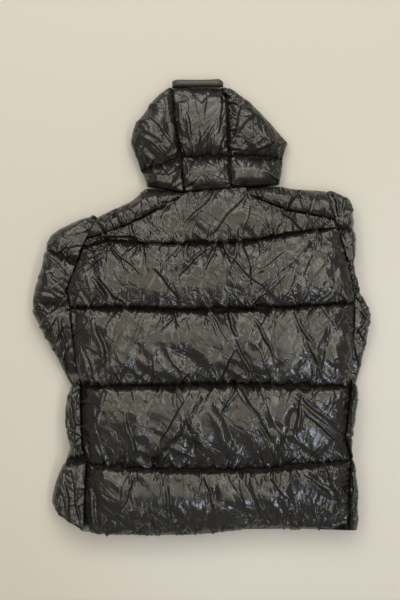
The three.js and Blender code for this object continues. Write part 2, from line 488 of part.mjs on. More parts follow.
const hoodBand = loft(HOOD_BAND.map((b) => ({
  outer: [[0, 0.62], [0.12, 0.9], [0.5, 1], [0.86, 0.9], [1, 0.6]].map(([u, share]) => ({ x: b.x, y: mix(b.low, b.high, u), z: b.top * share, q: u })),
  inner: [[0, 0.5], [0.2, 0.22], [0.5, 0.16], [0.8, 0.22], [1, 0.5]].map(([u, share]) => ({ x: b.x, y: mix(b.low, b.high, u), z: b.top * share, q: u })),
})));

// ---- Zip and its slider, closed, on the underside ----
const zipSection = (p) => ({
  outer: [{ x: p.x - ZIP_HALF, y: p.y, z: FRONT_LOFT - SEAM_GAP, q: 0 }, { x: p.x + ZIP_HALF, y: p.y, z: FRONT_LOFT - SEAM_GAP, q: 1 }],
  inner: [{ x: p.x - ZIP_HALF, y: p.y, z: 28, q: 0 }, { x: p.x - 3, y: p.y, z: 27.8, q: 0.3 }, { x: p.x - 2.6, y: p.y, z: 25.5, q: 0.33 },
    { x: p.x + 2.6, y: p.y, z: 25.5, q: 0.66 }, { x: p.x + 3, y: p.y, z: 27.8, q: 0.7 }, { x: p.x + ZIP_HALF, y: p.y, z: 28, q: 1 }],
});
const frontZip = loft([zipSection(ZIP_TOP), zipSection(ZIP_END)]);
const SLIDER = { width: 8.4, length: 13, height: 5, fromTop: 16, pullWidth: 5, pullLength: 30, pullHeight: 2 };
const sliderX = mix(ZIP_TOP.x, ZIP_END.x, SLIDER.fromTop / (ZIP_TOP.y - ZIP_END.y));
const sliderTop = 25.5 - SEAM_GAP;
const zipSlider = Manifold.cube([SLIDER.width, SLIDER.length, SLIDER.height], true)
  .translate([sliderX, ZIP_TOP.y - SLIDER.fromTop, sliderTop - SLIDER.height / 2])
  .add(Manifold.cube([SLIDER.pullWidth, SLIDER.pullLength, SLIDER.pullHeight], true)
    .translate([sliderX, ZIP_TOP.y - SLIDER.fromTop - SLIDER.pullLength / 2 + 3, sliderTop - SLIDER.height - SLIDER.pullHeight / 2 + 0.2]));

// ---- Assembly ----
const leftSleeve = sleeve('left', { x: -209, y: 180 }, LEFT_SLEEVE, LEFT_FOREARM, -1);
const rightSleeve = sleeve('right', { x: 247, y: 233 }, RIGHT_SLEEVE, RIGHT_FOREARM, 1);
const frontLeft = loft(frontSections('left', LEFT_SIDE, LEFT_FRONT_TOP, -1)).subtract(leftSleeve.bed);
const frontRight = loft(frontSections('right', RIGHT_SIDE, RIGHT_FRONT_TOP, 1)).subtract(rightSleeve.bed);

const nylon = new THREE.MeshStandardMaterial({ color: 0x17171b, roughness: 0.34, metalness: 0 });
const band = new THREE.MeshStandardMaterial({ color: 0x1d1d20, roughness: 0.5, metalness: 0 });
const zipTape = new THREE.MeshStandardMaterial({ color: 0x101012, roughness: 0.6, metalness: 0 });
const sliderMetal = new THREE.MeshStandardMaterial({ color: 0x2a2a2e, roughness: 0.3, metalness: 0.9 });

const jacket = new THREE.Group();
jacket.name = 'puffer_jacket';
function add(name, solid, material) {
  const mesh = new THREE.Mesh(geometryOf(solid), material);
  mesh.name = name;
  jacket.add(mesh);
}
add('back', back, nylon);
add('shoulder_left', shoulder(LEFT_SHOULDER, -1), nylon);
add('shoulder_right', shoulder(RIGHT_SHOULDER, 1), nylon);
add('sleeve_left', leftSleeve.body, nylon);
add('sleeve_right', rightSleeve.body, nylon);
add('front_left', frontLeft, nylon);
add('front_right', frontRight, nylon);
add('hood_centre', hoodCentre, nylon);
add('hood_left', hoodSide('left', -1), nylon);
add('hood_right', hoodSide('right', 1), nylon);
add('hood_binding', hoodBand, band);
add('front_zip', frontZip, zipTape);
add('zip_slider', zipSlider, sliderMetal);

export default jacket;
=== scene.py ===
import bpy
import bmesh
import math
import numpy as np
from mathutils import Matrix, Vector, noise


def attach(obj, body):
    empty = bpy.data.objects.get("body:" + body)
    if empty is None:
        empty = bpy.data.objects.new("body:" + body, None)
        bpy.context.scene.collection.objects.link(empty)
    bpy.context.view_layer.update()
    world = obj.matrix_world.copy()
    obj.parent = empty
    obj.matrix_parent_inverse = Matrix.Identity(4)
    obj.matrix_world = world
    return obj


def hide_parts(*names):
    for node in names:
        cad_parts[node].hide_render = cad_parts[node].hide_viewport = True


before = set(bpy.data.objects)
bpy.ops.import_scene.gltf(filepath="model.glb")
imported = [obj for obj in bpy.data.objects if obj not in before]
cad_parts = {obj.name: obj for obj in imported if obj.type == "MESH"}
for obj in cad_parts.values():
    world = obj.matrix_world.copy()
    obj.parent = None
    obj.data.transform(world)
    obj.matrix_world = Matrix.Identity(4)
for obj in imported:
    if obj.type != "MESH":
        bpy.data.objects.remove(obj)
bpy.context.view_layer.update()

# Sizes in millimetres
MM = 0.001
SEAM_GAP = 0.3
FRONT_LOFT = 30.0  # thickness of the fronts, which lie on the surface
TUCKED_LOFT = 23.0  # of a sleeve where the body lies on it
HOOD_FOLD_LOFT = 14.0  # of the hood's sides where they fold beneath
QUILT_VALLEY = 46.0  # height of the back at its quilt lines
YOKE_SEAM = 59.0
HEM_EDGE = 37.0
SIDE_VALLEY = 38.0  # height of the side seam at a quilt line
SIDE_CREST = 50.0  # and between two of them
SIDE_ROUND = 42.0  # distance over which the back rises from its side seams
STRIP_TOP = -132.0  # below this y the fronts show beside the back
ELBOW_Y = -12
EDGE_ROUND = 14.0
OUTLINE_HEIGHT = 20.0  # height of the widest line of a padded edge
ZIP_HALF = 7.0
FACE_SLIT = 1.7
PRESSURE = 3.0  # of the cloth simulation

# A crease's share of its depth in each of its parts, and the groove that a sewn line draws in
FACET = 0.48
CREST = 0.38
VALLEY = 0.6
GROOVE_HALF = 1.7
GROOVE_DEPTH = 8.0


def table(names, values):
    return [dict(zip(names.split(), row)) for row in values]


# Seams and outlines, read from the photograph's top view
BACK_TOP = table("x y", [
    (-229, 134), (-188, 144), (-114, 177), (-44, 215), (-40, 220.3), (-36, 225.6), (27, 231.6),
    (86, 237.1), (90, 228.5), (94, 221), (168, 190), (212, 182), (264, 171)])
BACK_LEFT = table("y x", [
    (134, -229), (115, -238), (77, -252), (31, -270), (-3, -262), (-103, -254), (-161, -242),
    (-245, -240), (-283, -238), (-311, -230), (-399, -234), (-449, -234)])
BACK_RIGHT = table("y x", [
    (171, 264), (155, 270), (111, 284), (79, 292), (37, 303), (7, 304), (-67, 303), (-157, 298),
    (-195, 294), (-261, 286), (-307, 298), (-347, 294), (-445, 294)])
QUILT_LINES = [
    table("x y", [(-238, 115), (-188, 132), (-142, 127), (-70, 123), (0, 126), (54, 125),
                  (108, 131), (168, 143), (224, 151), (270, 155)]),
    table("x y", [(-262, -3), (-134, -3), (-58, -7), (36, -6), (84, -5), (186, -1), (262, 5),
                  (304, 7)]),
    table("x y", [(-242, -159), (-134, -157), (-46, -157), (60, -153), (174, -157), (298, -159)]),
    table("x y", [(-230, -313), (-186, -319), (-122, -323), (36, -325), (124, -323), (200, -315),
                  (298, -307)])]
LEFT_EDGE = table("y z", [
    (134, 57), (77, 57), (31, 56), (-3, 50), (-45, 50), (-103, 45), (-161, 40),
    (-235, 49), (-313, 40), (-380, 47), (-449, 37)])
RIGHT_EDGE = table("y z", [
    (171, 55), (111, 54), (52, 50), (7, 46), (-40, 47), (-103, 44), (-161, 40),
    (-235, 49), (-313, 40), (-380, 47), (-449, 37)])
HEM = table("x y", [(-234, -449), (-206, -456), (-32, -457), (36, -451), (72, -447), (110, -440),
                    (200, -444), (294, -445)])
# The back's five rows, yoke to hem: height, steepness at the seams, sag, dome and number of sections
ROW_CREST = [66.0, 76.0, 79.0, 79.0, 74.0]
ROW_SQUARE = [18, 30, 28, 22, 20]
ROW_SAG = [0.0, 0.12, 0.25, 0.6, 0.6]
ROW_DOME = [0, 3, 5, 2, 2]
ROW_STEPS = [38, 46, 52, 54, 46]
BACK_COLUMNS = 150

SIDE = "seamY outX outY wrap"
LEFT_SIDE = table(SIDE, [
    (-135, -248, -135, 0), (-161, -264, -160, 1), (-187, -272, -187, 1), (-237, -274, -237, 1),
    (-263, -270, -263, 1), (-285, -266, -287, 1), (-311, -279, -315, 1), (-355, -294, -350, 1),
    (-391, -301, -378, 1), (-420, -302, -392, 1), (-449, -297, -405, 1)])
RIGHT_SIDE = table(SIDE, [
    (-135, 300, -135, 0), (-159, 311, -158, 1), (-179, 314, -179, 1), (-211, 310, -211, 1),
    (-267, 302, -267, 1), (-287, 300, -287, 1), (-307, 305, -306, 1), (-319, 308, -319, 1),
    (-367, 312, -367, 1), (-427, 314, -427, 1), (-445, 310, -444, 1)])
ZIP_TOP = (29.0, 231.0)
ZIP_END = (5.0, -447.0)
LEFT_FRONT_TOP = table("x y", [(-229, 134), (-140, 152), (-53.2, 175.6), (-39.8, 226.3),
                               (21.7, 231.3)])
RIGHT_FRONT_TOP = table("x y", [(264, 171), (178, 168), (105, 182.2), (89.5, 237), (36.3, 232.6)])

SHOULDER = "seamX outX outY inX inY round"
LEFT_SHOULDER = table(SHOULDER, [
    (-229, -209, 180, -228, 135, 14), (-188, -170, 196, -186, 143.5, 14),
    (-151, -140, 211, -140, 152.7, 14), (-114, -113, 237, -100, 164, 8),
    (-79, -79, 233.6, -76, 170.8, 2), (-44, -45, 227.6, -54.4, 177, 2),
    (-40, -40.6, 226.7, -54, 177.6, 1.5)])
RIGHT_SHOULDER = table(SHOULDER, [
    (90, 90.6, 237.4, 106, 183.6, 1.5), (94, 96, 238, 106.4, 183, 2), (131, 126, 240.6, 130, 177.8, 2),
    (168, 157, 240, 178, 169, 8), (190, 184, 235, 196, 169.3, 14), (212, 208, 234, 214, 170, 14),
    (264, 247, 233, 263.4, 172, 14)])

ARM = "seamY outX outY inX inY height under pinch"
LEFT_SLEEVE = table(ARM, [
    (178, -217, 182, -209, 178, 40, 0, 0.3), (166, -236, 178, -214, 166, 50, 0, 0),
    (152, -256, 170, -220, 152, 55, 0, 0), (134, -287, 156, -228, 134, 58, 0, 0),
    (115, -304, 143, -238, 115, 58, 0, 0), (95, -312, 128, -236, 97, 56, 1, 0),
    (83, -315, 115, -215, 95, 54, 1, 1), (70, -318, 104, -196, 92, 56, 1, 0),
    (52, -321, 82, -189, 88, 58, 1, 0), (31, -336, 36, -185, 83, 56, 1, 0),
    (14, -340, 14, -182, 80, 52, 1, 0), (-3, -340, -2, -176, 70, 44, 1, 1),
    (-20, -337, -18, -170, 56, 50, 1, 0), (-45, -326, -42, -157, 32, 49, 1, 0),
    (-75, -309, -74, -140, 0, 44, 1, 0), (-103, -293, -102, -123, -34, 38, 1, 0),
    (-122, -282, -124, -112, -56, 30, 1, 0), (-132, -277, -134, -108, -64, 24, 1, 0),
    (-161, -262, -162, -94, -90, 23, 1, 0)])
LEFT_FOREARM = table("outX outY inX inY pinch", [
    (-250, -185, -84, -112, 0), (-232, -218, -72, -142, 1), (-216, -248, -66, -172, 0),
    (-192, -292, -58, -220, 0), (-170, -333, -51, -270, 1), (-156, -360, -46, -304, 0),
    (-140, -389, -42, -339, 0.6)])
RIGHT_SLEEVE = table(ARM, [
    (229, 256, 233, 248, 229, 40, 0, 0.3), (220, 276, 227, 250, 220, 50, 0, 0),
    (206, 295, 217, 254, 206, 54, 0, 0), (190, 303, 200, 258, 190, 56, 0, 0),
    (171, 305, 175, 263, 171, 56, 0, 0), (155, 307, 155, 269, 155, 52, 0, 1),
    (133, 310, 134, 262, 134, 52, 1, 0), (111, 309, 112, 232, 116, 52, 1, 0),
    (79, 306, 80, 200, 84, 50, 1, 0), (52, 311, 51, 180, 54, 48, 1, 0),
    (30, 318, 28, 172, 30, 45, 1, 0), (7, 325, 8, 166, 6, 40, 1, 1),
    (-12, 340, -14, 164, -16, 46, 1, 0), (-40, 335, -42, 163, -44, 44, 1, 0),
    (-67, 331, -68, 162, -72, 40, 1, 0), (-100, 325, -101, 161, -104, 34, 1, 0),
    (-122, 320, -123, 160, -126, 28, 1, 0), (-132, 317, -133, 160, -136, 24, 1, 0),
    (-157, 310, -158, 158, -162, 23, 1, 0)])
RIGHT_FOREARM = table("outX outY inX inY pinch", [
    (304, -190, 157, -196, 0), (298, -226, 156, -232, 1), (293, -258, 155, -262, 0),
    (284, -306, 153, -306, 0), (277, -348, 152, -342, 1), (270, -384, 151, -370, 0),
    (262, -425, 150, -399, 0.6)])

HOOD = table("leftX leftY foldLeftX foldLeftY rightX rightY foldRightX foldRightY crest seam", [
    (-59.5, 438, -69, 439, 38, 438, 47, 441, 34, 31), (-59, 428, -88, 425, 44, 428, 66, 434, 43, 36),
    (-58, 415, -104, 405, 49, 416, 86, 418, 49, 40), (-57, 402, -120, 384, 50, 402, 106, 401, 53, 43),
    (-56, 388, -136, 363, 51, 388, 126, 381, 56, 45),
    (-54, 370, -141, 346, 51.7, 372, 146, 359, 58, 46),
    (-52, 352, -144, 331, 52, 354, 162, 342, 58, 46),
    (-48, 334, -142, 322, 52.4, 336, 175, 328, 56, 45),
    (-45, 318, -134, 305, 52.7, 320, 167, 314, 51, 43),
    (-43, 306, -126, 287, 53, 309, 164, 304, 44, 40),
    (-42, 298, -120, 270, 53, 302, 163, 297, 36, 36),
    (-41, 288, -118, 262, 53.5, 292, 163, 287, 46, 40),
    (-39, 268, -115, 254, 54, 272, 161, 270, 54, 44),
    (-37, 248, -113, 246, 56, 254, 158, 256, 51, 43),
    (-34.5, 227, -112, 240.8, 58, 235.7, 156, 244.6, 40, 40)])
HOOD_QUILT = 10


# Working functions on the tables
def reader(rows, along, column):
    ordered = sorted(rows, key=lambda row: row[along])
    places = [row[along] for row in ordered]
    values = [row[column] for row in ordered]
    return lambda place: np.interp(place, places, values)


def columns(rows, along, places):
    """Every column of a table, read at each place."""
    return {name: reader(rows, along, name)(places) for name in rows[0]}


def pair(value, x, y):
    return np.stack([value[x], value[y]], axis=1)


def corners(line):
    return [(row["x"], row["y"]) for row in line]


def across(line, share):
    x = line[0]["x"] + (line[-1]["x"] - line[0]["x"]) * share
    return np.stack([x, reader(line, "x", "y")(x)], axis=-1)


def mix(a, b, t):
    return a + (b - a) * t


def puff(t):
    return np.sin(np.pi * np.clip(t, 0, 1)) ** 0.6


def pillow(t, square):
    """A padded row between two sewn lines: steep at the lines, almost flat between them."""
    return math.sqrt(1 - abs(2 * t - 1) ** square)


def toward(a, b, distance):
    """Points a moved by a distance toward points b."""
    length = np.maximum(np.linalg.norm(b - a, axis=-1, keepdims=True), 1e-9)
    return a + (b - a) * (np.asarray(distance)[..., None] / length)


def soft_noise(x, y, pitch, seed):
    flat = [noise.noise(Vector((a / pitch, b / pitch, seed))) for a, b in zip(np.ravel(x), np.ravel(y))]
    return np.reshape(flat, np.shape(x))


def with_height(plan, z):
    plan = np.asarray(plan, float)
    height = np.broadcast_to(np.asarray(z, float)[..., None], plan.shape[:-1] + (1,))
    return np.concatenate([plan, height], axis=-1)


# Padded pieces: a wall lofted through sections, blown up by a cloth simulation between its seams
def loft_object(name, outer, inner):
    """A closed mesh. outer and inner are sections x points x 3 in mm, joined at a section's ends."""
    sections, outer_count = outer.shape[:2]
    count = outer_count + inner.shape[1]
    points = np.concatenate([outer, inner[:, ::-1]], axis=1).reshape(-1, 3)
    faces = []
    for i in range(sections - 1):
        for j in range(count):
            a = i * count + j
            b = i * count + (j + 1) % count
            faces.append((a, b, b + count, a + count))
    places = [np.linspace(0, 1, outer_count), np.linspace(0, 1, inner.shape[1])]
    for base, turned in ((0, True), ((sections - 1) * count, False)):
        i = j = 0
        while i < outer_count - 1 or j < inner.shape[1] - 1:
            next_outer = places[0][i + 1] if i < outer_count - 1 else 9
            next_inner = places[1][j + 1] if j < inner.shape[1] - 1 else 9
            if next_outer <= next_inner:
                face = (base + i, base + i + 1, base + count - 1 - j)
                i += 1
            else:
                face = (base + count - 2 - j, base + count - 1 - j, base + i)
                j += 1
            faces.append(face[::-1] if turned else face)
    mesh = bpy.data.meshes.new(name)
    mesh.from_pydata((points * MM).tolist(), [], faces)
    made = bmesh.new()
    made.from_mesh(mesh)
    bmesh.ops.recalc_face_normals(made, faces=made.faces)
    if made.calc_volume(signed=True) < 0:
        bmesh.ops.reverse_faces(made, faces=made.faces)
    made.to_mesh(mesh)
    made.free()
    piece = bpy.data.objects.new(name, mesh)
    bpy.context.scene.collection.objects.link(piece)
    return piece


def only(piece):
    bpy.ops.object.select_all(action="DESELECT")
    piece.select_set(True)
    bpy.context.view_layer.objects.active = piece


def coordinates(piece):
    flat = np.empty(len(piece.data.vertices) * 3)
    piece.data.vertices.foreach_get("co", flat)
    return flat.reshape(-1, 3)


def blow_up(piece, hold, rest, pressure=3.0, frames=22, cap=18.0, stiffness=9.0, bending=0.02):
    """Cloth with pressure and no gravity. hold is the pin weights and rest the cut cloth's shape."""
    start = coordinates(piece)
    only(piece)
    group = piece.vertex_groups.new(name="sewn")
    for weight in np.unique(np.round(hold, 2)):
        if weight > 0:
            group.add(np.nonzero(np.round(hold, 2) == weight)[0].tolist(), float(weight), "REPLACE")
    piece.shape_key_add(name="placed")
    cut = piece.shape_key_add(name="cut")
    cut.data.foreach_set("co", (rest * MM).ravel())
    cloth = piece.modifiers.new("cloth", "CLOTH")
    cloth.settings.rest_shape_key = cut
    settings = {
        "vertex_group_mass": "sewn", "pin_stiffness": 1.0, "quality": 6, "mass": 0.25,
        "tension_stiffness": stiffness, "compression_stiffness": stiffness,
        "shear_stiffness": stiffness * 0.5, "bending_stiffness": bending,
        "tension_damping": 8, "compression_damping": 8, "air_damping": 3,
        "use_pressure": True, "uniform_pressure_force": pressure}
    for name, value in settings.items():
        setattr(cloth.settings, name, value)
    cloth.settings.effector_weights.gravity = 0
    cloth.collision_settings.use_collision = False
    cloth.point_cache.frame_start = 1
    cloth.point_cache.frame_end = frames
    for number in range(1, frames + 1):
        bpy.context.scene.frame_set(number)
    shaped = piece.evaluated_get(bpy.context.evaluated_depsgraph_get())
    flat = np.empty(len(piece.data.vertices) * 3)
    shaped.data.vertices.foreach_get("co", flat)
    moved = flat.reshape(-1, 3) - start
    piece.modifiers.remove(cloth)
    piece.shape_key_clear()
    far = np.linalg.norm(moved, axis=1, keepdims=True)
    moved *= np.minimum(1, cap * MM / np.maximum(far, 1e-9))
    piece.data.vertices.foreach_set("co", (start + moved).ravel())
    piece.data.update()
    bpy.context.scene.frame_set(1)


FOLD = "x1 y1 x2 y2 bend depth wide"
FAN_FOLD = FOLD + " tail"


def heading(angle):
    return np.array([math.cos(angle), math.sin(angle)])


def fans(line, way, seed, every=34.0, reach=34.0, spread=52.0, depth=3.4):
    """Short creases in fans from points on a sewn line. way is the angle at which they run out."""
    pick = np.random.RandomState(seed)
    line = np.asarray(line, float)
    steps = np.concatenate([[0], np.cumsum(np.linalg.norm(np.diff(line, axis=0), axis=1))])
    creases = []
    place = every * pick.uniform(0.1, 0.6)
    while place < steps[-1]:
        start = np.array([np.interp(place, steps, line[:, 0]), np.interp(place, steps, line[:, 1])])
        strength = pick.uniform(0.55, 1.25)
        for _ in range(pick.randint(2, 6)):
            angle = math.radians(way + pick.uniform(-spread, spread))
            length = reach * strength * pick.uniform(0.35, 1.5)
            foot = start + heading(math.radians(way - 90)) * pick.uniform(-5, 5)
            end = foot + heading(angle) * length
            bend = pick.uniform(-0.12, 0.12) * length
            deep = depth * strength * pick.uniform(0.5, 1.2) * min(1, length / 30)
            creases.append((*foot, *end, bend, deep, pick.uniform(1.5, 3.0), 1))
        place += every * pick.uniform(0.45, 1.5)
    return table(FAN_FOLD, creases)


# Crossing sets of long shallow folds, each drawn out along its own direction
CRUMPLE = table("angle across along height", [
    (62, 38, 120, 7.5), (-36, 27, 95, -5.5), (100, 18, 64, 1.2), (14, 12, 44, -0.3)])


def crumple(at, seed):
    total = np.zeros(len(at))
    for number, fold in enumerate(CRUMPLE):
        turn = math.radians(fold["angle"])
        sway = 0.35 * soft_noise(at[:, 0], at[:, 1], 70, seed + number)
        along = (at[:, 0] * math.cos(turn) + at[:, 1] * math.sin(turn)) / fold["along"] + sway
        across = (at[:, 1] * math.cos(turn) - at[:, 0] * math.sin(turn)) / fold["across"] + sway
        total += fold["height"] * (np.abs(soft_noise(along, across, 1, seed + 3 * number)) - 0.2)
    patches = np.clip(0.6 + 2.2 * soft_noise(at[:, 0], at[:, 1], 75, seed + 30), 0.12, 1.4)
    return total * patches


def freedom(piece):
    """0 on a sewn or hidden point and 1 on a free one."""
    free = np.ones(len(piece.data.vertices))
    if piece.vertex_groups:
        for vertex in piece.data.vertices:
            for group in vertex.groups:
                free[vertex.index] = 1 - group.weight
    return free


def distance_to(at, line):
    """Distance of points to a broken line, in plan."""
    best = np.full(len(at), 99.0)
    for a, b in zip(line, line[1:]):
        run = b - a
        x, y = at[:, 0] - a[0], at[:, 1] - a[1]
        share = np.clip((x * run[0] + y * run[1]) / max(run @ run, 1e-9), 0, 1)
        best = np.minimum(best, np.hypot(x - share * run[0], y - share * run[1]))
    return best


def press(piece, creases, seed, grooves=(), crumpled=1.0, low=4.0, limit=8.0):
    """Creases pressed into a finished mesh along its normals: a sharp line with a facet on each side."""
    at = coordinates(piece) / MM
    normals = np.empty(len(at) * 3)
    piece.data.vertices.foreach_get("normal", normals)
    normals = normals.reshape(-1, 3)
    free = freedom(piece)
    move = np.zeros(len(at))
    for crease in creases:
        dx, dy = crease["x2"] - crease["x1"], crease["y2"] - crease["y1"]
        length = math.hypot(dx, dy)
        wide = crease["wide"]
        margin = 12 * wide + abs(crease["bend"])
        low_x, high_x = sorted([crease["x1"], crease["x2"]])
        low_y, high_y = sorted([crease["y1"], crease["y2"]])
        near = np.nonzero(
            (at[:, 0] > low_x - margin) & (at[:, 0] < high_x + margin)
            & (at[:, 1] > low_y - margin) & (at[:, 1] < high_y + margin))[0]
        x, y = at[near, 0] - crease["x1"], at[near, 1] - crease["y1"]
        along = (x * dx + y * dy) / length ** 2
        inside = np.clip(along, 0, 1)
        phase = crease["x1"] * 0.37 + crease["y2"] * 0.23
        off = (y * dx - x * dy) / length - crease["bend"] * 2.4 * inside * (1 - inside)
        off = off - 0.012 * length * np.sin(inside * 11 + phase)
        if crease.get("tail"):
            strength = np.clip(along / 0.06 + 1, 0, 1) * (1 - inside) ** 0.8
        else:
            strength = np.sin(np.pi * inside) ** 0.6
        side = 1 if math.cos(phase * 3) > 0 else -1
        valley = np.exp(-np.abs(off) / (0.5 * wide))
        facet = np.tanh(off / (0.6 * wide)) * np.exp(-np.abs(off) / (4.5 * wide)) * side
        crest = np.exp(-((off * side - 1.7 * wide) / (0.75 * wide)) ** 2)
        move[near] += crease["depth"] * strength * (FACET * facet + CREST * crest - VALLEY * valley)
    move *= 0.65 + 0.35 * free
    shown = np.nonzero((normals[:, 2] > -0.1) & (at[:, 2] > low) & (free > 0.02))[0]
    move[shown] += crumple(at[shown], seed) * free[shown] * crumpled
    upward = np.clip((normals[:, 2] + 0.3) / 0.8, 0, 1) * np.clip((at[:, 2] - low) / 12, 0, 1)
    move = np.clip(move * upward, -limit, limit * 0.6)
    placed = at + normals * move[:, None]
    away = np.full(len(at), 99.0)
    for line in grooves:
        away = np.minimum(away, np.abs(distance_to(at, np.asarray(line, float))))
    sunk = np.exp(-(away / GROOVE_HALF) ** 1.5) * upward
    placed[:, 2] -= GROOVE_DEPTH * sunk
    piece.data.vertices.foreach_set("co", (placed * MM).ravel())
    # Point attribute seam: 1 on a sewn line, falling off within about 2 mm. The nylon paints shade with
    # it, holding its base colour at the darkest along the seams, and also makes the cloth rougher there.
    mark = piece.data.attributes.new("seam", "FLOAT", "POINT")
    mark.data.foreach_set("value", np.exp(-(away / 1.8) ** 2).astype(np.float32))
    piece.data.update()


def finish_piece(piece, material, node, fill, levels=1, creases=(), seed=1.0, grooves=(), crumpled=1.0):
    only(piece)
    if levels:
        smooth = piece.modifiers.new("smooth", "SUBSURF")
        smooth.levels = levels
        smooth.render_levels = levels
        bpy.ops.object.modifier_apply(modifier=smooth.name)
    if len(creases):
        press(piece, creases, seed, grooves, crumpled)
    bpy.ops.object.shade_smooth()
    piece.data.materials.append(material)
    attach(piece, "root")
    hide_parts(node)


def packed(outer, inner):
    """The same order of points as in loft_object."""
    return np.concatenate([outer, inner[:, ::-1]], axis=1).reshape(-1, outer.shape[-1])


def pinned(hold, inner):
    """Pin weights in that order. The hidden side is held everywhere."""
    return packed(hold[..., None], np.ones(inner.shape[:2] + (1,)))[:, 0]


def cut_cloth(outer, wider, longer):
    """The cloth before it was sewn: each spacing of the placed piece made larger across and along."""
    cut = outer.copy()
    middle = outer.mean(axis=(0, 1))
    cut[..., 0] = middle[0] + (outer[..., 0] - middle[0]) * wider
    cut[..., 1] = middle[1] + (outer[..., 1] - middle[1]) * longer
    return cut


def make_padded(name, node, material, outer, inner, hold, ease, cap, pressure=PRESSURE, fill=0.7,
                **creasing):
    """Loft, blow up and finish one padded piece. ease is how much larger its cloth is cut, in x and y."""
    piece = loft_object(name, outer, inner)
    rest = packed(cut_cloth(outer, *ease), inner)
    blow_up(piece, pinned(hold, inner), rest, pressure=pressure, cap=cap)
    finish_piece(piece, material, node, fill, **creasing)


def seam_wave(plan, seed=1.0):
    """Small heights of a puckered seam, the same for both pieces that meet there."""
    x, y = plan[..., 0], plan[..., 1]
    return 1.8 * soft_noise(x, y, 16, seed) + 1.2 * soft_noise(x, y, 45, seed + 7)


# Long creases of the back, from one point to another
BACK_FOLDS = table(FOLD, [
    (-224, 137, -84, 124, 6, 4, 4), (-268, 60, -170, 119, 4, 4, 2.6), (-252, -67, -224, -157, 4, 4, 3),
    (-236, 109, -180, 121, 3, 4, 2.6), (-236, 81, -164, 123, -4, 4.5, 3),
    (-232, 63, -188, 99, 3, 3.5, 2.4),
    (-216, 62, -184, 15, 4, 5, 3), (-206, 58, -174, 11, 3, 4, 2.4),
    (28, 232, -44, 163, 5, 3.5, 3.5), (96, 226, 20, 140, -4, 2.5, 3), (150, 190, 196, 150, 3, 3, 3),
    (-98, 77, -48, 13, 3, 4, 2.4), (20, 119, -48, 53, -5, 3.6, 2.6), (-60, 50, -44, -2, 3, 2.5, 2.2),
    (42, 111, 122, 33, -4, 3.4, 2.4), (168, 115, 98, 65, 4, 3, 2.4), (194, 89, 84, -3, -6, 4, 2.6),
    (262, 37, 216, 5, 3, 4.5, 4), (-190, 118, -120, 60, 4, 2.5, 2.4), (-210, 60, -150, 0, -4, 3, 2.6),
    (-212, -27, -184, -117, 6, 6, 4), (-236, -73, -212, -157, 4, 3.5, 3),
    (48, -9, 64, -61, -3, 4.5, 3), (64, -61, 108, -153, 5, 4.5, 2.8), (98, -23, 140, -105, 4, 4, 2.4),
    (-40, -8, -84, -50, 3, 2.5, 2.2), (176, -8, 226, -92, -5, 3, 2.6), (200, -60, 236, -150, 4, 3.6, 3),
    (-198, -163, -224, -247, 6, 5.5, 4), (-24, -161, -104, -287, 8, 3.5, 3),
    (182, -170, 286, -261, 6, 6, 4), (190, -196, 270, -270, -5, 4, 2.6),
    (192, -163, 178, -252, 4, 4.5, 3.2),
    (60, -165, 30, -215, 4, 3, 2.6), (-150, -200, -120, -300, -6, 3, 3), (110, -230, 160, -310, 5, 4, 3),
    (-134, -337, -160, -407, 6, 4, 3), (72, -347, 96, -427, -5, 5, 3.6),
    (-218, -357, -210, -447, 4, 4, 3.4),
    (0, -335, 20, -400, 5, 3.4, 3), (130, -335, 190, -400, -6, 4, 3), (200, -330, 262, -380, 5, 4, 3),
    (-70, -340, -60, -440, 6, 3.4, 3), (20, -185, 70, -290, 8, 4, 9), (120, -180, 190, -300, -8, 4, 10),
    (-40, -200, -10, -310, 6, 3, 8), (90, -330, 120, -440, 8, 4.5, 9),
    (170, -330, 210, -440, -8, 4, 10), (30, -335, 10, -440, 6, 3.6, 9),
    (240, -325, 280, -430, 6, 3.6, 8)])


def wrinkle_seed(plan, from_seam, seed):
    """Small heights that start the cloth's own wrinkles, drawn out across the seams."""
    x, y = plan[..., 0], plan[..., 1]
    sway = soft_noise(x, y, 90, seed + 20) * 26
    gathers = soft_noise(x + sway, y * 0.3, 15, seed)
    dents = abs(soft_noise(x + 0.6 * y, y - 0.4 * x, 52, seed + 40)) - 0.25
    return 3.2 * gathers * np.exp(-from_seam / 24) - 5.0 * dents * np.clip(from_seam / 25, 0, 1)


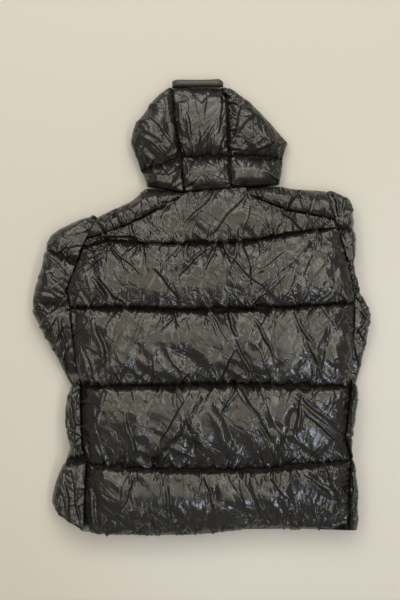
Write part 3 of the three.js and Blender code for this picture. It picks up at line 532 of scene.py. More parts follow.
def back_sections():
    lines = [BACK_TOP, *QUILT_LINES, HEM]
    share = np.linspace(0, 1, BACK_COLUMNS)
    left_x, right_x = reader(BACK_LEFT, "y", "x"), reader(BACK_RIGHT, "y", "x")
    left_edge, right_edge = reader(LEFT_EDGE, "y", "z"), reader(RIGHT_EDGE, "y", "z")
    plan, height, hold, low = [], [], [], []
    for row, crest in enumerate(ROW_CREST):
        above, below = lines[row], lines[row + 1]
        steps = ROW_STEPS[row]
        last = row == len(ROW_CREST) - 1
        for step in range(steps + (1 if last else 0)):
            t = step / steps - 0.8 * math.sin(2 * math.pi * step / steps) / (2 * math.pi)
            left_y = mix(above[0]["y"], below[0]["y"], t)
            right_y = mix(above[-1]["y"], below[-1]["y"], t)
            left = np.array([left_x(left_y), left_y])
            right = np.array([right_x(right_y), right_y])
            top_left, top_right = [np.array([above[i]["x"], above[i]["y"]], float) for i in (0, -1)]
            low_left, low_right = [np.array([below[i]["x"], below[i]["y"]], float) for i in (0, -1)]

            def place(u):
                top, bottom = across(above, u), across(below, u)
                u = u[:, None]
                square = mix(mix(top_left, top_right, u), mix(low_left, low_right, u), t)
                return mix(top, bottom, t) + mix(left, right, u) - square

            points = place(share)
            valley_above = YOKE_SEAM if row == 0 else QUILT_VALLEY
            valley_below = HEM_EDGE if last else QUILT_VALLEY
            rounded = pillow(t, ROW_SQUARE[row])
            full = rounded * (0.88 - ROW_SAG[row] * t * t)
            middle = mix(mix(valley_above, valley_below, t), crest, full)
            middle += ROW_DOME[row] * (1 - (2 * t - 1) ** 2) - ROW_DOME[row] * 0.5 * rounded
            side = mix(left_edge(left_y), right_edge(right_y), share > 0.5) - 6 * (1 - rounded)
            from_side = np.minimum(points[:, 0] - left[0], right[0] - points[:, 0])
            rise = np.sin(np.pi / 2 * np.clip(from_side / SIDE_ROUND, 0, 1)) ** 0.85
            sewn = step in (0, steps)
            z = mix(side, middle, rise)
            z += wrinkle_seed(points, min(t, 1 - t) * (top_left[1] - low_left[1]), 3.0) * rounded
            if sewn:
                z += seam_wave(points)
            held = np.full(BACK_COLUMNS, 1.0 if sewn else 0.0)
            held[[0, -1]] = 1.0
            plan.append(points)
            height.append(z)
            hold.append(held)
            low.append(place(np.linspace(0, 1, 13)))
    return np.array(plan), np.array(height), np.array(hold), np.array(low)


def make_back(material):
    plan, height, hold, low = back_sections()
    outer = with_height(plan, height)
    inner = with_height(low, FRONT_LOFT + SEAM_GAP)
    creases = [{**fold, "depth": fold["depth"] * 1.7} for fold in BACK_FOLDS]
    sewn_lines = [corners(line) for line in QUILT_LINES]
    for number, line in enumerate(sewn_lines):
        creases += fans(line, 90, 100 + number) + fans(line, -90, 200 + number)
        for way in (90, -90):
            creases += fans(line, way, 400 + number + way, every=13, reach=13, spread=38, depth=2.6)
    creases += fans(corners(HEM), 90, 300, every=26, reach=56, spread=32, depth=4.4)
    for number, line in enumerate(sewn_lines):
        for way, seed in ((90, 500), (-90, 600)):
            creases += fans(line, way, seed + number, every=58, reach=62, spread=40, depth=4.6)
    creases += fans(corners(BACK_TOP), -90, 301, every=24, reach=34)
    creases += fans(corners(BACK_LEFT), 0, 302, every=30, reach=38, depth=3.0)
    creases += fans(corners(BACK_RIGHT), 180, 303, every=30, reach=38, depth=3.4)
    make_padded("back_quilted", "back", material, outer, inner, hold, (1.07, 1.01), 24, pressure=0.9,
                creases=creases, seed=5.0, grooves=sewn_lines)


# Sleeves, fronts, shoulders and hood: sections that round up from the surface to a seam on top
def round_rise(out, seam, foot, level, high, seam_z, counts=(6, 12, 18)):
    """Lines from the foot on the surface, round the outline and over the crest to the seam."""
    width = np.maximum(np.linalg.norm(seam - out, axis=1), 0.6)
    crest = np.minimum(0.42 * width, 34)
    turn = np.linspace(0, np.pi / 2, counts[0], endpoint=False)
    climb = np.linspace(0, np.pi / 2, counts[1], endpoint=False)
    rest = np.linspace(0, 1, counts[2])
    along = np.concatenate([
        foot[:, None] * (1 - np.sin(turn)), crest[:, None] * (1 - np.cos(climb)),
        crest[:, None] + (width - crest)[:, None] * rest], axis=1)
    z = np.concatenate([
        level[:, None] * (1 - np.cos(turn)), level[:, None] + (high - level)[:, None] * np.sin(climb),
        high[:, None] + (seam_z - high)[:, None] * rest ** 2], axis=1)
    plan = toward(out[:, None], seam[:, None], along)
    return with_height(plan, z)


def pinched(places, lines, half=7.0):
    """1 on a quilt line and 0 away from it, by distance along the piece."""
    return sum((np.exp(-((places - line) / half) ** 2) for line in lines), np.zeros(len(places)))


def nearest(places, lines):
    rows = np.zeros(len(places), bool)
    for line in lines:
        rows[np.argmin(np.abs(places - line))] = True
    return rows


def arm_stations(arm, forearm, armhole, outward):
    """Plan of a sleeve's sections: outline, seam and inner edge, with the height at each."""
    places = np.concatenate([np.arange(arm[0]["seamY"], arm[-1]["seamY"], -3.6), [arm[-1]["seamY"]]])
    value = columns(arm, "seamY", places)
    out = pair(value, "outX", "outY")
    seam = np.stack([reader(armhole, "y", "x")(places) + outward * 0.5, places], axis=1)
    inner = mix(seam, pair(value, "inX", "inY"), value["under"][:, None])
    shut = []
    last = (out[-1], inner[-1], 0.0)
    for row in forearm:
        this = (np.array([row["outX"], row["outY"]], float),
                np.array([row["inX"], row["inY"]], float), row["pinch"])
        for t in (1 / 3, 2 / 3, 1):
            shut.append([mix(a, b, t) for a, b in zip(last, this)])
        last = this
    tuck_out, tuck_in, tuck_pinch = [np.array(each) for each in zip(*shut)]
    return places, value["height"], out, seam, inner, tuck_out, tuck_in, tuck_pinch


def seam_fans(line, ways, seed, **sizes):
    creases = []
    for number, way in enumerate(ways):
        creases += fans(line, way, seed + number, **sizes)
    return creases


def make_sleeve(side, arm, forearm, armhole, outward, quilts, seed, folds, material):
    stations = arm_stations(arm, forearm, armhole, outward)
    places, height, out, seam, inner, tuck_out, tuck_in, tuck_pinch = stations
    pinch = pinched(places, quilts, 4.5)
    sewn = nearest(places, quilts)
    open_part = np.clip((height - TUCKED_LOFT) / 14, 0, 1)
    out = toward(out, seam, 4 * pinch * open_part)
    low = np.full(len(places), TUCKED_LOFT)
    high = np.maximum(height - 9 * pinch * open_part, low + 0.3)
    hidden = len(tuck_out)
    out = np.concatenate([out, tuck_out])
    tuck_seam = mix(tuck_out, tuck_in, 0.25)
    seam = np.concatenate([seam, tuck_seam])
    inner = np.concatenate([inner, tuck_in])
    low = np.concatenate([low, TUCKED_LOFT - 5 * tuck_pinch])
    high = np.concatenate([high, TUCKED_LOFT - 5 * tuck_pinch + 0.3])
    level = np.clip(high * 0.42, 9, OUTLINE_HEIGHT)
    width = np.linalg.norm(seam - out, axis=1)
    under = np.linalg.norm(inner - seam, axis=1)
    foot = np.minimum(EDGE_ROUND, 0.6 * width + 0.25 * under)
    seam_z = mix(low, high, 0.94)
    rise = round_rise(out, seam, foot, level, high, seam_z)
    rise[:, -1, 2] += seam_wave(rise[:, -1, :2]) * (rise[:, -1, 2] > 30)
    rise[:, 3:-1, 2] += 0.5 * soft_noise(rise[:, 3:-1, 0], rise[:, 3:-1, 1], 9, 5.0)
    edge = np.minimum(5, under * 0.3)
    shoulder = toward(inner, seam, edge)
    tail = np.stack([
        with_height(seam, low), with_height(mix(seam, shoulder, 0.5), low - 0.05),
        with_height(shoulder, low - 2), with_height(inner, low * 0.55)], axis=1)
    outer = np.concatenate([rise, tail], axis=1)
    start = toward(out, seam, foot)
    floor = np.stack([
        with_height(mix(start, seam, 0.4), 0), with_height(mix(seam, inner, 0.3), 0),
        with_height(toward(inner, seam, 2 * edge), 0), with_height(inner, low * 0.25)], axis=1)
    hold = np.zeros(outer.shape[:2])
    hold[:, 0] = 1
    hold[:, rise.shape[1] - 1:] = 1
    hold[:len(places)][sewn] = 1
    hold[[0, -1]] = 1
    hold[-hidden:] = 1
    creases = list(folds)
    upper = seam[:len(places)][places > ELBOW_Y]
    creases += seam_fans(upper, [90 - outward * 90], seed, reach=40, every=26, depth=3.2)
    grooves = [np.stack([seam[row], out[row]]) for row in np.nonzero(sewn)[0]]
    for number, line in enumerate(grooves):
        creases += seam_fans(line, [90, -90], seed + 10 + 5 * number, reach=30, every=14, depth=3.6)
    outline = out[:len(places)]
    creases += seam_fans(outline, [90 + outward * 90], seed + 40, reach=32, every=30, depth=2.6)
    make_padded("sleeve_quilted_" + side, "sleeve_" + side, material, outer, floor, hold, (1.04, 1.02), 9,
                creases=creases, seed=seed, grooves=grooves, crumpled=0.5)


def sleeve_bed(plan, arms):
    """1 where a tucked sleeve lies, 0 elsewhere."""
    shade = np.zeros(plan.shape[:-1])
    x, y = plan[..., 0], plan[..., 1]
    for out, inner in arms:
        ring = np.concatenate([out, inner[::-1]])
        within = np.zeros(shade.shape, bool)
        for a, b in zip(ring, np.roll(ring, -1, axis=0)):
            crosses = (a[1] > y) != (b[1] > y)
            within ^= crosses & (x < (b[0] - a[0]) * (y - a[1]) / (b[1] - a[1] + 1e-9) + a[0])
        shade = np.maximum(shade, within)
    return shade


def make_front(side, edge, strip, top_line, outward, quilts, seed, folds, arms, material):
    seam_top, seam_end = edge[0]["y"], edge[-1]["y"]
    places = np.concatenate([
        np.arange(seam_top, STRIP_TOP, -8.0), np.arange(STRIP_TOP, seam_end, -3.8), [seam_end]])
    seam = np.stack([reader(edge, "y", "x")(places), places], axis=1)
    value = columns(strip, "seamY", places)
    wrap = np.where(places <= strip[0]["seamY"], value["wrap"], 0.0)
    out = pair(value, "outX", "outY")
    pinch = pinched(places, quilts)
    sewn = nearest(places, quilts)
    out = mix(seam, out, wrap[:, None])
    out = toward(out, seam, 3.5 * pinch * wrap)
    wall = seam + np.array([outward * 0.5, 0]) * wrap[:, None]
    share = np.linspace(0, 1, 34)
    t = (places - seam_top) / (seam_end - seam_top)
    top = across(top_line, share)
    hem_zip = np.array([ZIP_END[0] + outward * (ZIP_HALF + SEAM_GAP), ZIP_END[1]])
    low = mix(seam[-1], hem_zip, share[:, None])
    zip_line = mix(top[-1], hem_zip, t[:, None])
    over, down = share[None, :, None], t[:, None, None]
    square = mix(mix(top[0], top[-1], over), mix(low[0], low[-1], over), down)
    panel = mix(top[None], low[None], down) + mix(seam[:, None], zip_line[:, None], over) - square
    seam_z = np.where(wrap > 0, mix(SIDE_VALLEY, SIDE_CREST, 1 - pinch) - 1, 28.5)
    seam_z = mix(28.5, seam_z, wrap)
    level = np.full(len(places), OUTLINE_HEIGHT)
    high = mix(29.0, seam_z + 6 * (1 - pinch), wrap)
    foot = np.full(len(places), EDGE_ROUND)
    rise = round_rise(out, wall, foot, level, high, seam_z)
    flat = wrap < 0.02
    rise[flat, :, 0] = seam[flat, 0][:, None]
    rise[flat, :, 1] = seam[flat, 1][:, None]
    rise[flat, :, 2] = np.linspace(19, 28.5, rise.shape[1])
    small = 0.5 * soft_noise(rise[:, 3:-1, 0], rise[:, 3:-1, 1], 9, 6.0)
    rise[:, 3:-1, 2] += small * wrap[:, None]
    lift = 16 * np.maximum(0, 1 - (places - seam_end) / 11) ** 2
    rise[:, 0, 2] = np.where(flat, 19, lift)
    outer = np.concatenate([
        rise, with_height(wall, FRONT_LOFT)[:, None], with_height(panel[:, 1:], FRONT_LOFT)], axis=1)
    start = np.where(flat[:, None], toward(seam, panel[:, 1], 4.0), toward(out, wall, foot))
    floor_z = sleeve_bed(panel, arms) * (TUCKED_LOFT + 1)
    floor_z = np.maximum(floor_z, lift[:, None])
    zip_edge, before = panel[:, -1], panel[:, -2]
    inner = np.concatenate([
        with_height(start, np.maximum(floor_z[:, 0] * 0.98, lift))[:, None],
        with_height(panel[:, 1:-1], floor_z[:, 1:-1]),
        with_height(toward(zip_edge, before, 13), lift)[:, None],
        with_height(toward(zip_edge, before, 4), np.maximum(9, lift))[:, None],
        with_height(zip_edge, 23)[:, None]], axis=1)
    hold = np.ones(outer.shape[:2])
    free = wrap > 0.6
    hold[:, 1:rise.shape[1] - 1] = np.where(free & ~sewn, 0.0, 1.0)[:, None]
    hold[-1] = 1
    shown = wrap > 0.1
    creases = list(folds)
    creases += seam_fans(seam[shown], [90 - outward * 90], seed, reach=40, every=26, depth=2.4)
    creases += seam_fans(out[shown], [90 + outward * 90], seed + 3, reach=30, every=30, depth=1.6)
    grooves = [np.stack([seam[row], out[row]]) for row in np.nonzero(sewn)[0]]
    for number, line in enumerate(grooves):
        creases += seam_fans(line, [90, -90], seed + 10 + 5 * number, reach=30, every=12, depth=3.6)
    make_padded("front_quilted_" + side, "front_" + side, material, outer, inner, hold, (1.05, 1.05), 8,
                fill=0.6, creases=creases, seed=seed, grooves=grooves, crumpled=0.45)


def folded_sections(seam, fold, inner, seam_z, crest, level, turn, layer, count=24):
    """A wall from a seam on top, round a fold and back beneath, with a thin gap between its layers."""
    length = np.linalg.norm(fold - seam, axis=1)
    turn = np.minimum(turn, 0.45 * length)
    share = mix(np.linspace(0, 1, count), np.sin(np.linspace(0, np.pi / 2, count)), 0.6)
    rise = np.sin(np.pi / 2 * np.clip(share / 0.35, 0, 1)) ** 0.8
    fall = np.sqrt(np.clip(1 - np.clip((share - 0.42) / 0.58, 0, 1) ** 2, 0, 1))
    body = mix(seam_z[:, None], crest[:, None], rise[None])
    z = level[:, None] + (body - level[:, None]) * fall[None]
    top = with_height(mix(seam[:, None], fold[:, None], share[None, :, None]), z)
    angle = np.linspace(0, np.pi / 2, 6)[1:]
    around = toward(fold[:, None], inner[:, None], turn[:, None] * (1 - np.cos(angle)))
    under = with_height(around, level[:, None] * (1 - np.sin(angle)))
    outer = np.concatenate([top, under, with_height(inner, 0)[:, None]], axis=1)
    slit = np.minimum(12, 0.4 * length)
    wall = np.stack([
        with_height(seam, layer + SEAM_GAP), with_height(toward(fold, seam, slit), layer + SEAM_GAP),
        with_height(toward(fold, inner, slit), layer), with_height(inner, layer)], axis=1)
    return outer, wall


def make_folded(name, node, sections, sewn, material, ease, cap, noise_seed, way, folds):
    outer, wall = sections
    outer = outer.copy()
    outer[:, 0, 2] += seam_wave(outer[:, 0, :2]) * 0.8
    outer[:, 1:-3, 2] += 0.5 * soft_noise(outer[:, 1:-3, 0], outer[:, 1:-3, 1], 9, noise_seed)
    outer[:, -2:, 2] = 0
    hold = np.zeros(outer.shape[:2])
    hold[:, 0] = 1
    hold[:, -2:] = 1
    hold[sewn] = 1
    hold[[0, -1]] = 1
    creases = list(folds)
    creases += seam_fans(outer[:, 0, :2], [way], int(noise_seed), reach=34, every=24)
    creases += seam_fans(outer[:, -4, :2], [way + 180], int(noise_seed) + 3, reach=28, every=28)
    grooves = [outer[row, :-3, :2] for row in sewn]
    for number, line in enumerate(grooves):
        seed = int(noise_seed) + 5 * number
        creases += seam_fans(line, [90], seed + 30, reach=60, every=26, spread=24, depth=3.4)
        creases += seam_fans(line, [-90], seed + 50, reach=34, every=20, spread=40)
    make_padded(name, node, material, outer, wall, hold, ease, cap, creases=creases, seed=noise_seed,
                grooves=grooves, crumpled=0.7)


def make_shoulder(side, rows, material, seed, folds):
    places = np.arange(rows[0]["seamX"], rows[-1]["seamX"] + 0.1, 3.8)
    places[-1] = rows[-1]["seamX"]
    value = columns(rows, "seamX", places)
    seam = np.stack([places, reader(BACK_TOP, "x", "y")(places) + 0.6], axis=1)
    fold, inner = pair(value, "outX", "outY"), pair(value, "inX", "inY")
    full = np.full(len(places), 1.0)
    narrow = np.clip(np.linalg.norm(fold - seam, axis=1) / 45, 0.25, 1)
    sections = folded_sections(
        seam, fold, inner, YOKE_SEAM * full, mix(YOKE_SEAM, 66, narrow), OUTLINE_HEIGHT * full,
        value["round"], FRONT_LOFT, 20)
    make_folded("shoulder_quilted_" + side, "shoulder_" + side, sections, [], material, (1.07, 1.05), 9,
                seed, 90, folds)


def hood_rows():
    """Every column of the hood's table at each section, and the number of the sewn one."""
    places = np.concatenate([
        np.linspace(0, HOOD_QUILT, 42)[:-1], np.linspace(HOOD_QUILT, len(HOOD) - 1, 19)])
    numbers = np.arange(len(HOOD))
    value = {name: np.interp(places, numbers, [row[name] for row in HOOD]) for name in HOOD[0]}
    return value, int(np.argmin(np.abs(places - HOOD_QUILT)))


def make_hood_side(side, outward, material, seed, folds):
    value, sewn = hood_rows()
    seam = pair(value, side + "X", side + "Y") + (outward * 0.5, 0)
    folded = "fold" + side.capitalize()
    fold = pair(value, folded + "X", folded + "Y")
    middle = np.stack([(value["leftX"] + value["rightX"]) / 2 + outward * FACE_SLIT,
                       (value["leftY"] + value["rightY"]) / 2], axis=1)
    level = np.minimum(OUTLINE_HEIGHT, 0.45 * value["crest"])
    sections = folded_sections(
        seam, fold, middle, value["seam"], value["crest"], level, EDGE_ROUND, HOOD_FOLD_LOFT, 30)
    make_folded("hood_padded_" + side, "hood_" + side, sections, [sewn], material, (1.05, 1.03), 12,
                seed, 90 - outward * 90, folds)


def make_hood_centre(material):
    value, sewn = hood_rows()
    share = np.linspace(0, 1, 30)
    ends = [pair(value, s + "X", s + "Y") for s in ("left", "right")]
    plan = mix(ends[0][:, None], ends[1][:, None], share[None, :, None])
    z = mix(value["seam"][:, None], value["crest"][:, None], puff(share)[None])
    z += 0.6 * soft_noise(plan[..., 0], plan[..., 1], 9, 8.0)
    z[:, [0, -1]] = value["seam"][:, None] + seam_wave(plan[:, [0, -1]]) * 0.8
    outer = with_height(plan, z)
    inner = with_height(plan[:, [0, 15, 29]], HOOD_FOLD_LOFT + SEAM_GAP)
    hold = np.zeros(outer.shape[:2])
    hold[:, [0, -1]] = 1
    hold[[0, -1]] = 1
    hold[sewn] = 1
    line = plan[sewn]
    creases = table(FOLD, [
        (-28, 389, -18, 313, 4, 4, 3), (22, 369, -14, 309, -6, 4.5, 3), (10, 430, 4, 360, 3, 3, 2.6),
        (-40, 420, -36, 350, -3, 3, 2.6), (40, 425, 34, 340, 4, 3.4, 2.6)])
    creases += seam_fans(line, [90], 81, reach=60, every=18, spread=24, depth=3.4)
    creases += seam_fans(line, [-90], 82, reach=34, every=18, spread=34)
    creases += seam_fans(plan[:, 0], [0], 83, reach=20, every=24)
    creases += seam_fans(plan[:, -1], [180], 84, reach=20, every=24)
    make_padded("hood_middle_strip", "hood_centre", material, outer, inner, hold, (1.1, 1.05), 12,
                creases=creases, seed=8.0, grooves=[line])


HOOD_BAND = table("x low high top", [
    (-60, 439, 453, 34), (-50, 439.5, 455.5, 40), (-8, 439.5, 454.5, 42), (22, 439.5, 455.5, 42),
    (35, 440, 457, 40), (43, 441.5, 451, 34)])


def make_hood_band(material):
    x = np.linspace(HOOD_BAND[0]["x"], HOOD_BAND[-1]["x"], 36)
    value = columns(HOOD_BAND, "x", x)
    wave = soft_noise(x, x * 0, 14, 2.0)

    def line(profile, lift):
        lines = []
        for u, share in profile:
            z = value["top"] * share + lift * wave * u
            lines.append(np.stack([x, mix(value["low"], value["high"], u), z], axis=1))
        return np.stack(lines, axis=1)

    crown = [(0, 0.62), (0.06, 0.84), (0.2, 0.97), (0.5, 1), (0.8, 0.97), (0.94, 0.86), (1, 0.6)]
    outer = line(crown, 1.5)
    inner = line([(0, 0.5), (0.2, 0.22), (0.5, 0.16), (0.8, 0.22), (1, 0.5)], 0)
    piece = loft_object("hood_brim_band", outer, inner)
    finish_piece(piece, material, "hood_binding", None, levels=2)


TOOTH = {
    "wide": 3.4, "along": 1.2, "thick": 2.3, "head": 0.9, "edge": 0.2, "pitch": 3.2, "first": 186.0,
    "middle": 26.0}


def zip_row(outward):
    """Moulded teeth of one side of the closed zip: one tooth shaped, then repeated down the tape."""
    start, end = np.array(ZIP_TOP), np.array(ZIP_END)
    step = (end - start) / np.linalg.norm(end - start) * TOOTH["pitch"]
    place = start + step * ((start[1] - TOOTH["first"]) / TOOTH["pitch"] + (0.5 if outward > 0 else 0))
    bpy.ops.object.select_all(action="DESELECT")
    bpy.ops.mesh.primitive_cube_add(
        size=1, location=Vector((place[0] + outward * 0.9, place[1], TOOTH["middle"])) * MM,
        scale=Vector((TOOTH["wide"], TOOTH["along"], TOOTH["thick"])) * MM)
    row = bpy.context.object
    bpy.ops.object.transform_apply(location=True, rotation=True, scale=True)
    bpy.ops.object.mode_set(mode="EDIT")
    bpy.ops.mesh.bevel(offset=TOOTH["edge"] * MM, segments=1)
    bpy.ops.mesh.select_all(action="DESELECT")
    bpy.ops.object.mode_set(mode="OBJECT")
    for face in row.data.polygons:
        face.select = face.normal.x * outward < -0.99
    bpy.ops.object.mode_set(mode="EDIT")
    head = (-outward * TOOTH["head"] * MM, 0, 0)
    bpy.ops.mesh.extrude_region_move(TRANSFORM_OT_translate={"value": head})
    bpy.ops.transform.resize(value=(1, 0.6, 0.8))
    bpy.ops.object.mode_set(mode="OBJECT")
    repeat = row.modifiers.new("down_the_tape", "ARRAY")
    repeat.use_relative_offset = False
    repeat.use_constant_offset = True
    repeat.constant_offset_displace = (step[0] * MM, step[1] * MM, 0)
    repeat.count = int((TOOTH["first"] - end[1] - 4) / TOOTH["pitch"])
    bpy.ops.object.modifier_apply(modifier=repeat.name)
    return row


def make_zip_teeth(material):
    rows = [zip_row(-1), zip_row(1)]
    only(rows[0])
    rows[1].select_set(True)
    bpy.ops.object.join()
    teeth = bpy.context.object
    teeth.name = "zip_teeth"
    bpy.ops.object.transform_apply(location=True, rotation=True, scale=True)
    teeth.data.materials.append(material)
    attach(teeth, "root")


# Materials: shader maths written as arithmetic
class Shade:
    """One output of a material's node."""

    def __init__(self, finish, socket):
        self.finish = finish
        self.socket = socket

    def _math(self, operation, *values):
        return self.finish.node("ShaderNodeMath", {"operation": operation}, *values)

    def __add__(self, other):
        return self._math("ADD", self, other)

    def __sub__(self, other):
        return self._math("SUBTRACT", self, other)

    def __rsub__(self, other):
        return self._math("SUBTRACT", other, self)

    def __mul__(self, other):
        return self._math("MULTIPLY", self, other)

    def __truediv__(self, other):
        return self._math("DIVIDE", self, other)

    def __abs__(self):
        return self._math("ABSOLUTE", self)

    def clamp(self, low=0.0, high=1.0):
        return self._math("MINIMUM", self._math("MAXIMUM", self, low), high)


class Finish:
    """A material built from nodes around one Principled shader."""

    def __init__(self, name, **constants):
        self.material = bpy.data.materials.new(name)
        self.material.use_nodes = True
        self.tree = self.material.node_tree
        self.shader = next(n for n in self.tree.nodes if n.type == "BSDF_PRINCIPLED")
        for socket, value in constants.items():
            self.shader.inputs[socket.replace("_", " ")].default_value = value

    def node(self, kind, settings=None, *values, output=0, **named):
        made = self.tree.nodes.new(kind)
        for key, value in (settings or {}).items():
            setattr(made, key, value)
        pairs = list(enumerate(values)) + list(named.items())
        for key, value in pairs:
            if isinstance(value, Shade):
                self.tree.links.new(value.socket, made.inputs[key])
            elif value is not None:
                made.inputs[key].default_value = value
        return Shade(self, made.outputs[output])

    def place(self):
        return self.node("ShaderNodeTexCoord", output="Object")

    def noise(self, vector, scale, detail=3.0, distortion=0.0, roughness=0.5):
        return self.node("ShaderNodeTexNoise", None, Vector=vector, Scale=scale, Detail=detail,
                         Distortion=distortion, Roughness=roughness)

    def blend(self, factor, a, b):
        made = self.node("ShaderNodeMix", {"data_type": "RGBA"}, output=2)
        mixer = made.socket.node
        for index, value in ((0, factor), (6, a), (7, b)):
            if isinstance(value, Shade):
                self.tree.links.new(value.socket, mixer.inputs[index])
            else:
                mixer.inputs[index].default_value = value
        return made

    def feed(self, socket, shade):
        self.tree.links.new(shade.socket, self.shader.inputs[socket])

    def bump(self, height, strength, distance):
        self.feed("Normal", self.node(
            "ShaderNodeBump", None, Strength=strength, Distance=distance, Height=height))


def glossy_nylon():
    """Wet-look black nylon over down: near black, a soft gloss, crinkles a few millimetres apart."""
    cloth = Finish("glossy_black_nylon", Specular_IOR_Level=0.7, IOR=1.5)
    at = cloth.place()
    cloud = cloth.noise(at, 7.0, 2.0)
    # Base colour: random tone from a cloud noise, except along the sewn lines, where it is held at its
    # darkest as painted shade in the seams' grooves. The seam attribute also raises the roughness there.
    seam = cloth.node("ShaderNodeAttribute", {"attribute_name": "seam"}, output="Fac")
    cloth.feed("Base Color", cloth.blend(
        cloud * (1 - seam), (0.009, 0.0086, 0.008, 1), (0.015, 0.0145, 0.0135, 1)))
    cloth.feed("Roughness", (cloth.noise(at, 22.0, 3.0) * 0.12 + 0.205 + seam * 0.5).clamp(0.12, 0.95))
    lines = None
    for turn, scale, seed in ((62, (8, 30, 16), 0.0), (-35, (9, 36, 16), 3.0), (98, (12, 44, 16), 7.0)):
        laid = cloth.node(
            "ShaderNodeMapping", {"vector_type": "TEXTURE"}, Vector=at, Location=(seed, seed, 0),
            Rotation=(0, 0, math.radians(turn)), Scale=tuple(1 / each for each in scale))
        ridge = abs(cloth.noise(laid, 1.0, 2.0, 0.3, 0.5) - 0.5)
        thin = (1 - ridge / 0.035).clamp() * (cloth.noise(laid, 0.7, 1.0) * 6 - 2.7).clamp()
        lines = thin if lines is None else lines + thin
    crinkle = abs(cloth.noise(at, 48.0, 1.0, 0.9) - 0.5) * 2.0
    fine = abs(cloth.noise(at, 150.0, 1.0, 0.6) - 0.5) * 2.0
    weave = cloth.noise(at, 1900.0, 1.0)
    height = crinkle * 0.3 + fine * 0.05 + weave * 0.01 - lines * 0.6
    cloth.bump(height, 0.35, 0.004)
    return cloth.material


def satin_band_painted_sheen():
    cloth = Finish("brim_band_painted_sheen", Roughness=0.38)
    at = cloth.place()
    # Base colour far lighter than the nylon's: painted sheen, standing in for the band's reflection of
    # the ceiling lights. The noise varies the tone at random.
    cloth.feed("Base Color", cloth.blend(
        cloth.noise(at, 40.0), (0.045, 0.047, 0.043, 1), (0.075, 0.078, 0.07, 1)))
    ribs = cloth.node(
        "ShaderNodeTexWave", {"wave_type": "BANDS", "bands_direction": "Y"}, Vector=at, Scale=260.0,
        Distortion=0.6)
    cloth.bump(ribs * 0.3 + cloth.noise(at, 120.0) * 0.7, 0.35, 0.001)
    return cloth.material


def zip_cloth():
    tape = Finish("zip_tape_cloth", Roughness=0.7)
    at = tape.place()
    tape.feed("Base Color", tape.blend(
        tape.noise(at, 300.0), (0.01, 0.01, 0.011, 1), (0.025, 0.025, 0.027, 1)))
    tape.bump(tape.noise(at, 1400.0), 0.4, 0.0005)
    return tape.material


def black_metal():
    metal = Finish("slider_metal", Metallic=0.9)
    at = metal.place()
    metal.feed("Base Color", metal.blend(
        metal.noise(at, 90.0), (0.035, 0.035, 0.037, 1), (0.07, 0.07, 0.072, 1)))
    metal.feed("Roughness", metal.noise(at, 200.0) * 0.2 + 0.25)
    return metal.material


def floor_card():
    card = Finish("pale_surface", Roughness=0.85)
    at = card.place()
    # Colour a little lighter and warmer toward the bottom (-y): painted light that offsets the shade the
    # lamps leave on the floor there. A small noise adds random mottle.
    painted_light_to_bottom = (0.5 - card.node("ShaderNodeSeparateXYZ", None, at, output="Y") * 0.9).clamp()
    mottle_and_painted_light = card.noise(at, 2.0) * 0.1 + painted_light_to_bottom * 0.9
    card.feed("Base Color", card.blend(mottle_and_painted_light, (0.64, 0.632, 0.62, 1), (0.66, 0.645, 0.605, 1)))
    card.bump(card.noise(at, 900.0), 0.05, 0.0005)
    return card.material


# The jacket
nylon = glossy_nylon()
LEFT_SLEEVE_FOLDS = table(FOLD, [
    (-278, 113, -236, 121, 0, 4, 2.2), (-340, -2, -300, -12, 2, 9, 3.4),
    (-306, -14, -266, 34, -3, 9, 3.4),
    (-336, 13, -300, -21, 3, 5, 3), (-334, 49, -296, 66, 3, 4, 3), (-338, 30, -290, 20, 3, 4.5, 3),
    (-320, -21, -270, -1, 3, 5, 2.8), (-306, -30, -290, -110, 3, 7, 3), (-290, -40, -262, -150, 3, 5, 3),
    (-300, 100, -262, 60, 3, 3.5, 2.6), (-318, 95, -300, 50, 3, 3.5, 2.6),
    (-280, -20, -262, -90, -3, 5, 2.8),
    (-300, -98, -270, -36, 4, 4.5, 2.4), (-286, -116, -264, -64, 3, 4, 2.4),
    (-316, -72, -282, -18, 4, 5, 2.4),
    (-326, -44, -300, -6, 3, 4.5, 2.4)])
RIGHT_SLEEVE_FOLDS = table(FOLD, [
    (258, 226, 268, 176, 2, 5, 3), (280, 222, 272, 180, 2, 4, 3), (296, 212, 284, 170, 2, 4, 3),
    (306, 100, 292, 60, 2, 4.5, 3), (340, -14, 304, 20, 3, 7, 3.2), (338, -20, 306, -50, -3, 6, 3),
    (332, -70, 306, -110, 3, 4.5, 3), (312, 50, 300, 20, 2, 4, 3),
    (328, -98, 308, -40, -3, 4, 2.4), (319, -128, 304, -82, 3, 4, 2.4),
    (334, -44, 310, -6, -3, 4.5, 2.4)])
LEFT_SIDE_FOLDS = table(FOLD, [
    (-264, -170, -250, -246, 3, 5, 2.4), (-272, -188, -260, -270, 3, 4.5, 2.4),
    (-252, -196, -246, -290, -3, 4, 2.2),
    (-292, -330, -268, -424, 4, 5, 2.6), (-276, -318, -258, -446, 5, 5, 2.6),
    (-258, -326, -244, -440, -3, 4, 2.4),
    (-298, -362, -286, -430, 3, 4, 2.2)])
RIGHT_SIDE_FOLDS = table(FOLD, [
    (310, -168, 300, -250, -3, 4, 2.2), (306, -214, 298, -290, 2, 4, 2.2),
    (304, -318, 303, -420, 2, 4, 2.2),
    (311, -330, 307, -400, -2, 3.6, 2.2)])
LEFT_ARMHOLE = table("y x", [(180, -209), (134, -229)]) + BACK_LEFT[1:]
RIGHT_ARMHOLE = table("y x", [(233, 247), (171, 264)]) + BACK_RIGHT[1:]
make_back(nylon)
make_shoulder("left", LEFT_SHOULDER, nylon, 11.0, table(FOLD, [
    (-212, 169, -188, 139, 3, 6, 4.5), (-186, 177, -170, 151, 3, 4, 3),
    (-150, 196, -128, 176, 3, 3, 2.6)]))
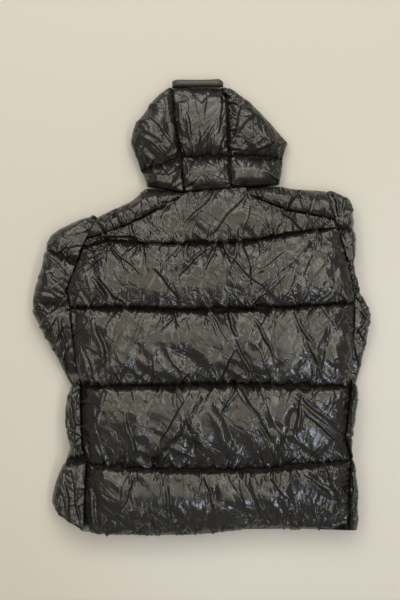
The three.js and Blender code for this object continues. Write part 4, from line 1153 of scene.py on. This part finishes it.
make_shoulder("right", RIGHT_SHOULDER, nylon, 12.0, table(FOLD, [
    (180, 233, 168, 189, 3, 5, 3.6), (202, 233, 170, 189, -4, 4.5, 3), (170, 189, 120, 190, 4, 4, 3)]))
make_hood_side("left", -1, nylon, 13.0, table(FOLD, [
    (-110, 380, -52, 306, 6, 4, 3), (-128, 350, -60, 300, 5, 3.6, 3), (-80, 420, -60, 320, 4, 3.4, 3),
    (-138, 330, -90, 292, 4, 3.6, 3)]))
make_hood_side("right", 1, nylon, 14.0, table(FOLD, [
    (112, 393, 56, 309, -6, 4, 3), (126, 343, 72, 309, -4, 4, 3), (84, 420, 62, 330, -4, 3.4, 3),
    (158, 336, 100, 304, 4, 3.6, 3)]))
make_hood_centre(nylon)
make_hood_band(satin_band_painted_sheen())
ARMS = (
    ("left", LEFT_SLEEVE, LEFT_FOREARM, LEFT_ARMHOLE, -1, [83], 400, LEFT_SLEEVE_FOLDS),
    ("right", RIGHT_SLEEVE, RIGHT_FOREARM, RIGHT_ARMHOLE, 1, [155], 500, RIGHT_SLEEVE_FOLDS))
FRONTS = (
    ("left", BACK_LEFT, LEFT_SIDE, LEFT_FRONT_TOP, -1, [-305], 600, LEFT_SIDE_FOLDS),
    ("right", BACK_RIGHT, RIGHT_SIDE, RIGHT_FRONT_TOP, 1, [-307], 700, RIGHT_SIDE_FOLDS))
tucked = []
for arm in ARMS:
    make_sleeve(*arm, nylon)
    stations = arm_stations(*arm[1:5])
    tucked.append([np.concatenate([stations[i], stations[i + 2]]) for i in (3, 4)])
for front in FRONTS:
    make_front(*front, tucked, nylon)

make_zip_teeth(black_metal())
for name, material in (("front_zip", zip_cloth()), ("zip_slider", black_metal())):
    node = bpy.data.objects[name]
    node.data.materials.clear()
    node.data.materials.append(material)

# Floor, light and camera. The photograph looks straight down, at 2 mm a pixel
bpy.ops.mesh.primitive_plane_add(size=7, location=(0, 0, -0.0005))
floor = bpy.context.object
floor.name = "floor"
floor.data.materials.append(floor_card())


def soft_light(name, place, size, energy, colour, aim=(0, 0, 0), beam=180):
    lamp = bpy.data.lights.new(name, "AREA")
    lamp.shape = "RECTANGLE"
    lamp.size, lamp.size_y = size
    lamp.energy = energy
    lamp.color = colour
    lamp.spread = math.radians(beam)
    holder = bpy.data.objects.new(name, lamp)
    holder.location = place
    holder.rotation_euler = (Vector(aim) - Vector(place)).to_track_quat("-Z", "Y").to_euler()
    bpy.context.scene.collection.objects.link(holder)


for name, place, size, energy, colour in (
        ("ceiling_near", (-0.2, 0.14, 2.9), (3.6, 0.9), 14.2, (1.0, 0.88, 0.69)),
        ("ceiling_middle", (0.3, 1.5, 2.9), (4.0, 0.8), 21, (1.0, 0.97, 0.75)),
        ("ceiling_back", (-0.2, 2.9, 2.8), (4.4, 1.3), 74, (1.0, 0.96, 0.87)),
        ("ceiling_far", (0.0, -0.66, 2.9), (2.8, 0.5), 7, (1.0, 0.95, 0.74)),
        ("strip_right", (1.25, -0.1, 2.9), (0.34, 2.2), 16, (1.0, 0.96, 0.82)),
        ("strip_left", (-1.3, 0.4, 2.9), (0.34, 1.8), 11, (1.0, 0.96, 0.82))):
    soft_light(name, place, size, energy, colour, (place[0], place[1] * 0.7, 0))
soft_light("sky_low_right", (0.95, -1.55, 2.1), (1.1, 0.8), 0.52, (0.72, 0.8, 1.0), (0.3, -0.36, 0), 14)

world = bpy.data.worlds.new("room")
world.use_nodes = True
world.node_tree.nodes["Background"].inputs[0].default_value = (1.0, 0.92, 0.84, 1)
world.node_tree.nodes["Background"].inputs[1].default_value = 0.22
bpy.context.scene.world = world
bpy.context.scene.view_settings.view_transform = "Standard"

camera_data = bpy.data.cameras.new("above")
camera = bpy.data.objects.new("above", camera_data)
VIEW_HEIGHT = 2.4
PICTURE_HEIGHT = 1.2
camera_data.sensor_fit = "VERTICAL"
camera_data.sensor_height = 36.0
camera_data.lens = camera_data.sensor_height * VIEW_HEIGHT / PICTURE_HEIGHT
camera.location = (-0.004, 0.013, 0.035 + VIEW_HEIGHT)
bpy.context.scene.collection.objects.link(camera)
bpy.context.scene.camera = camera
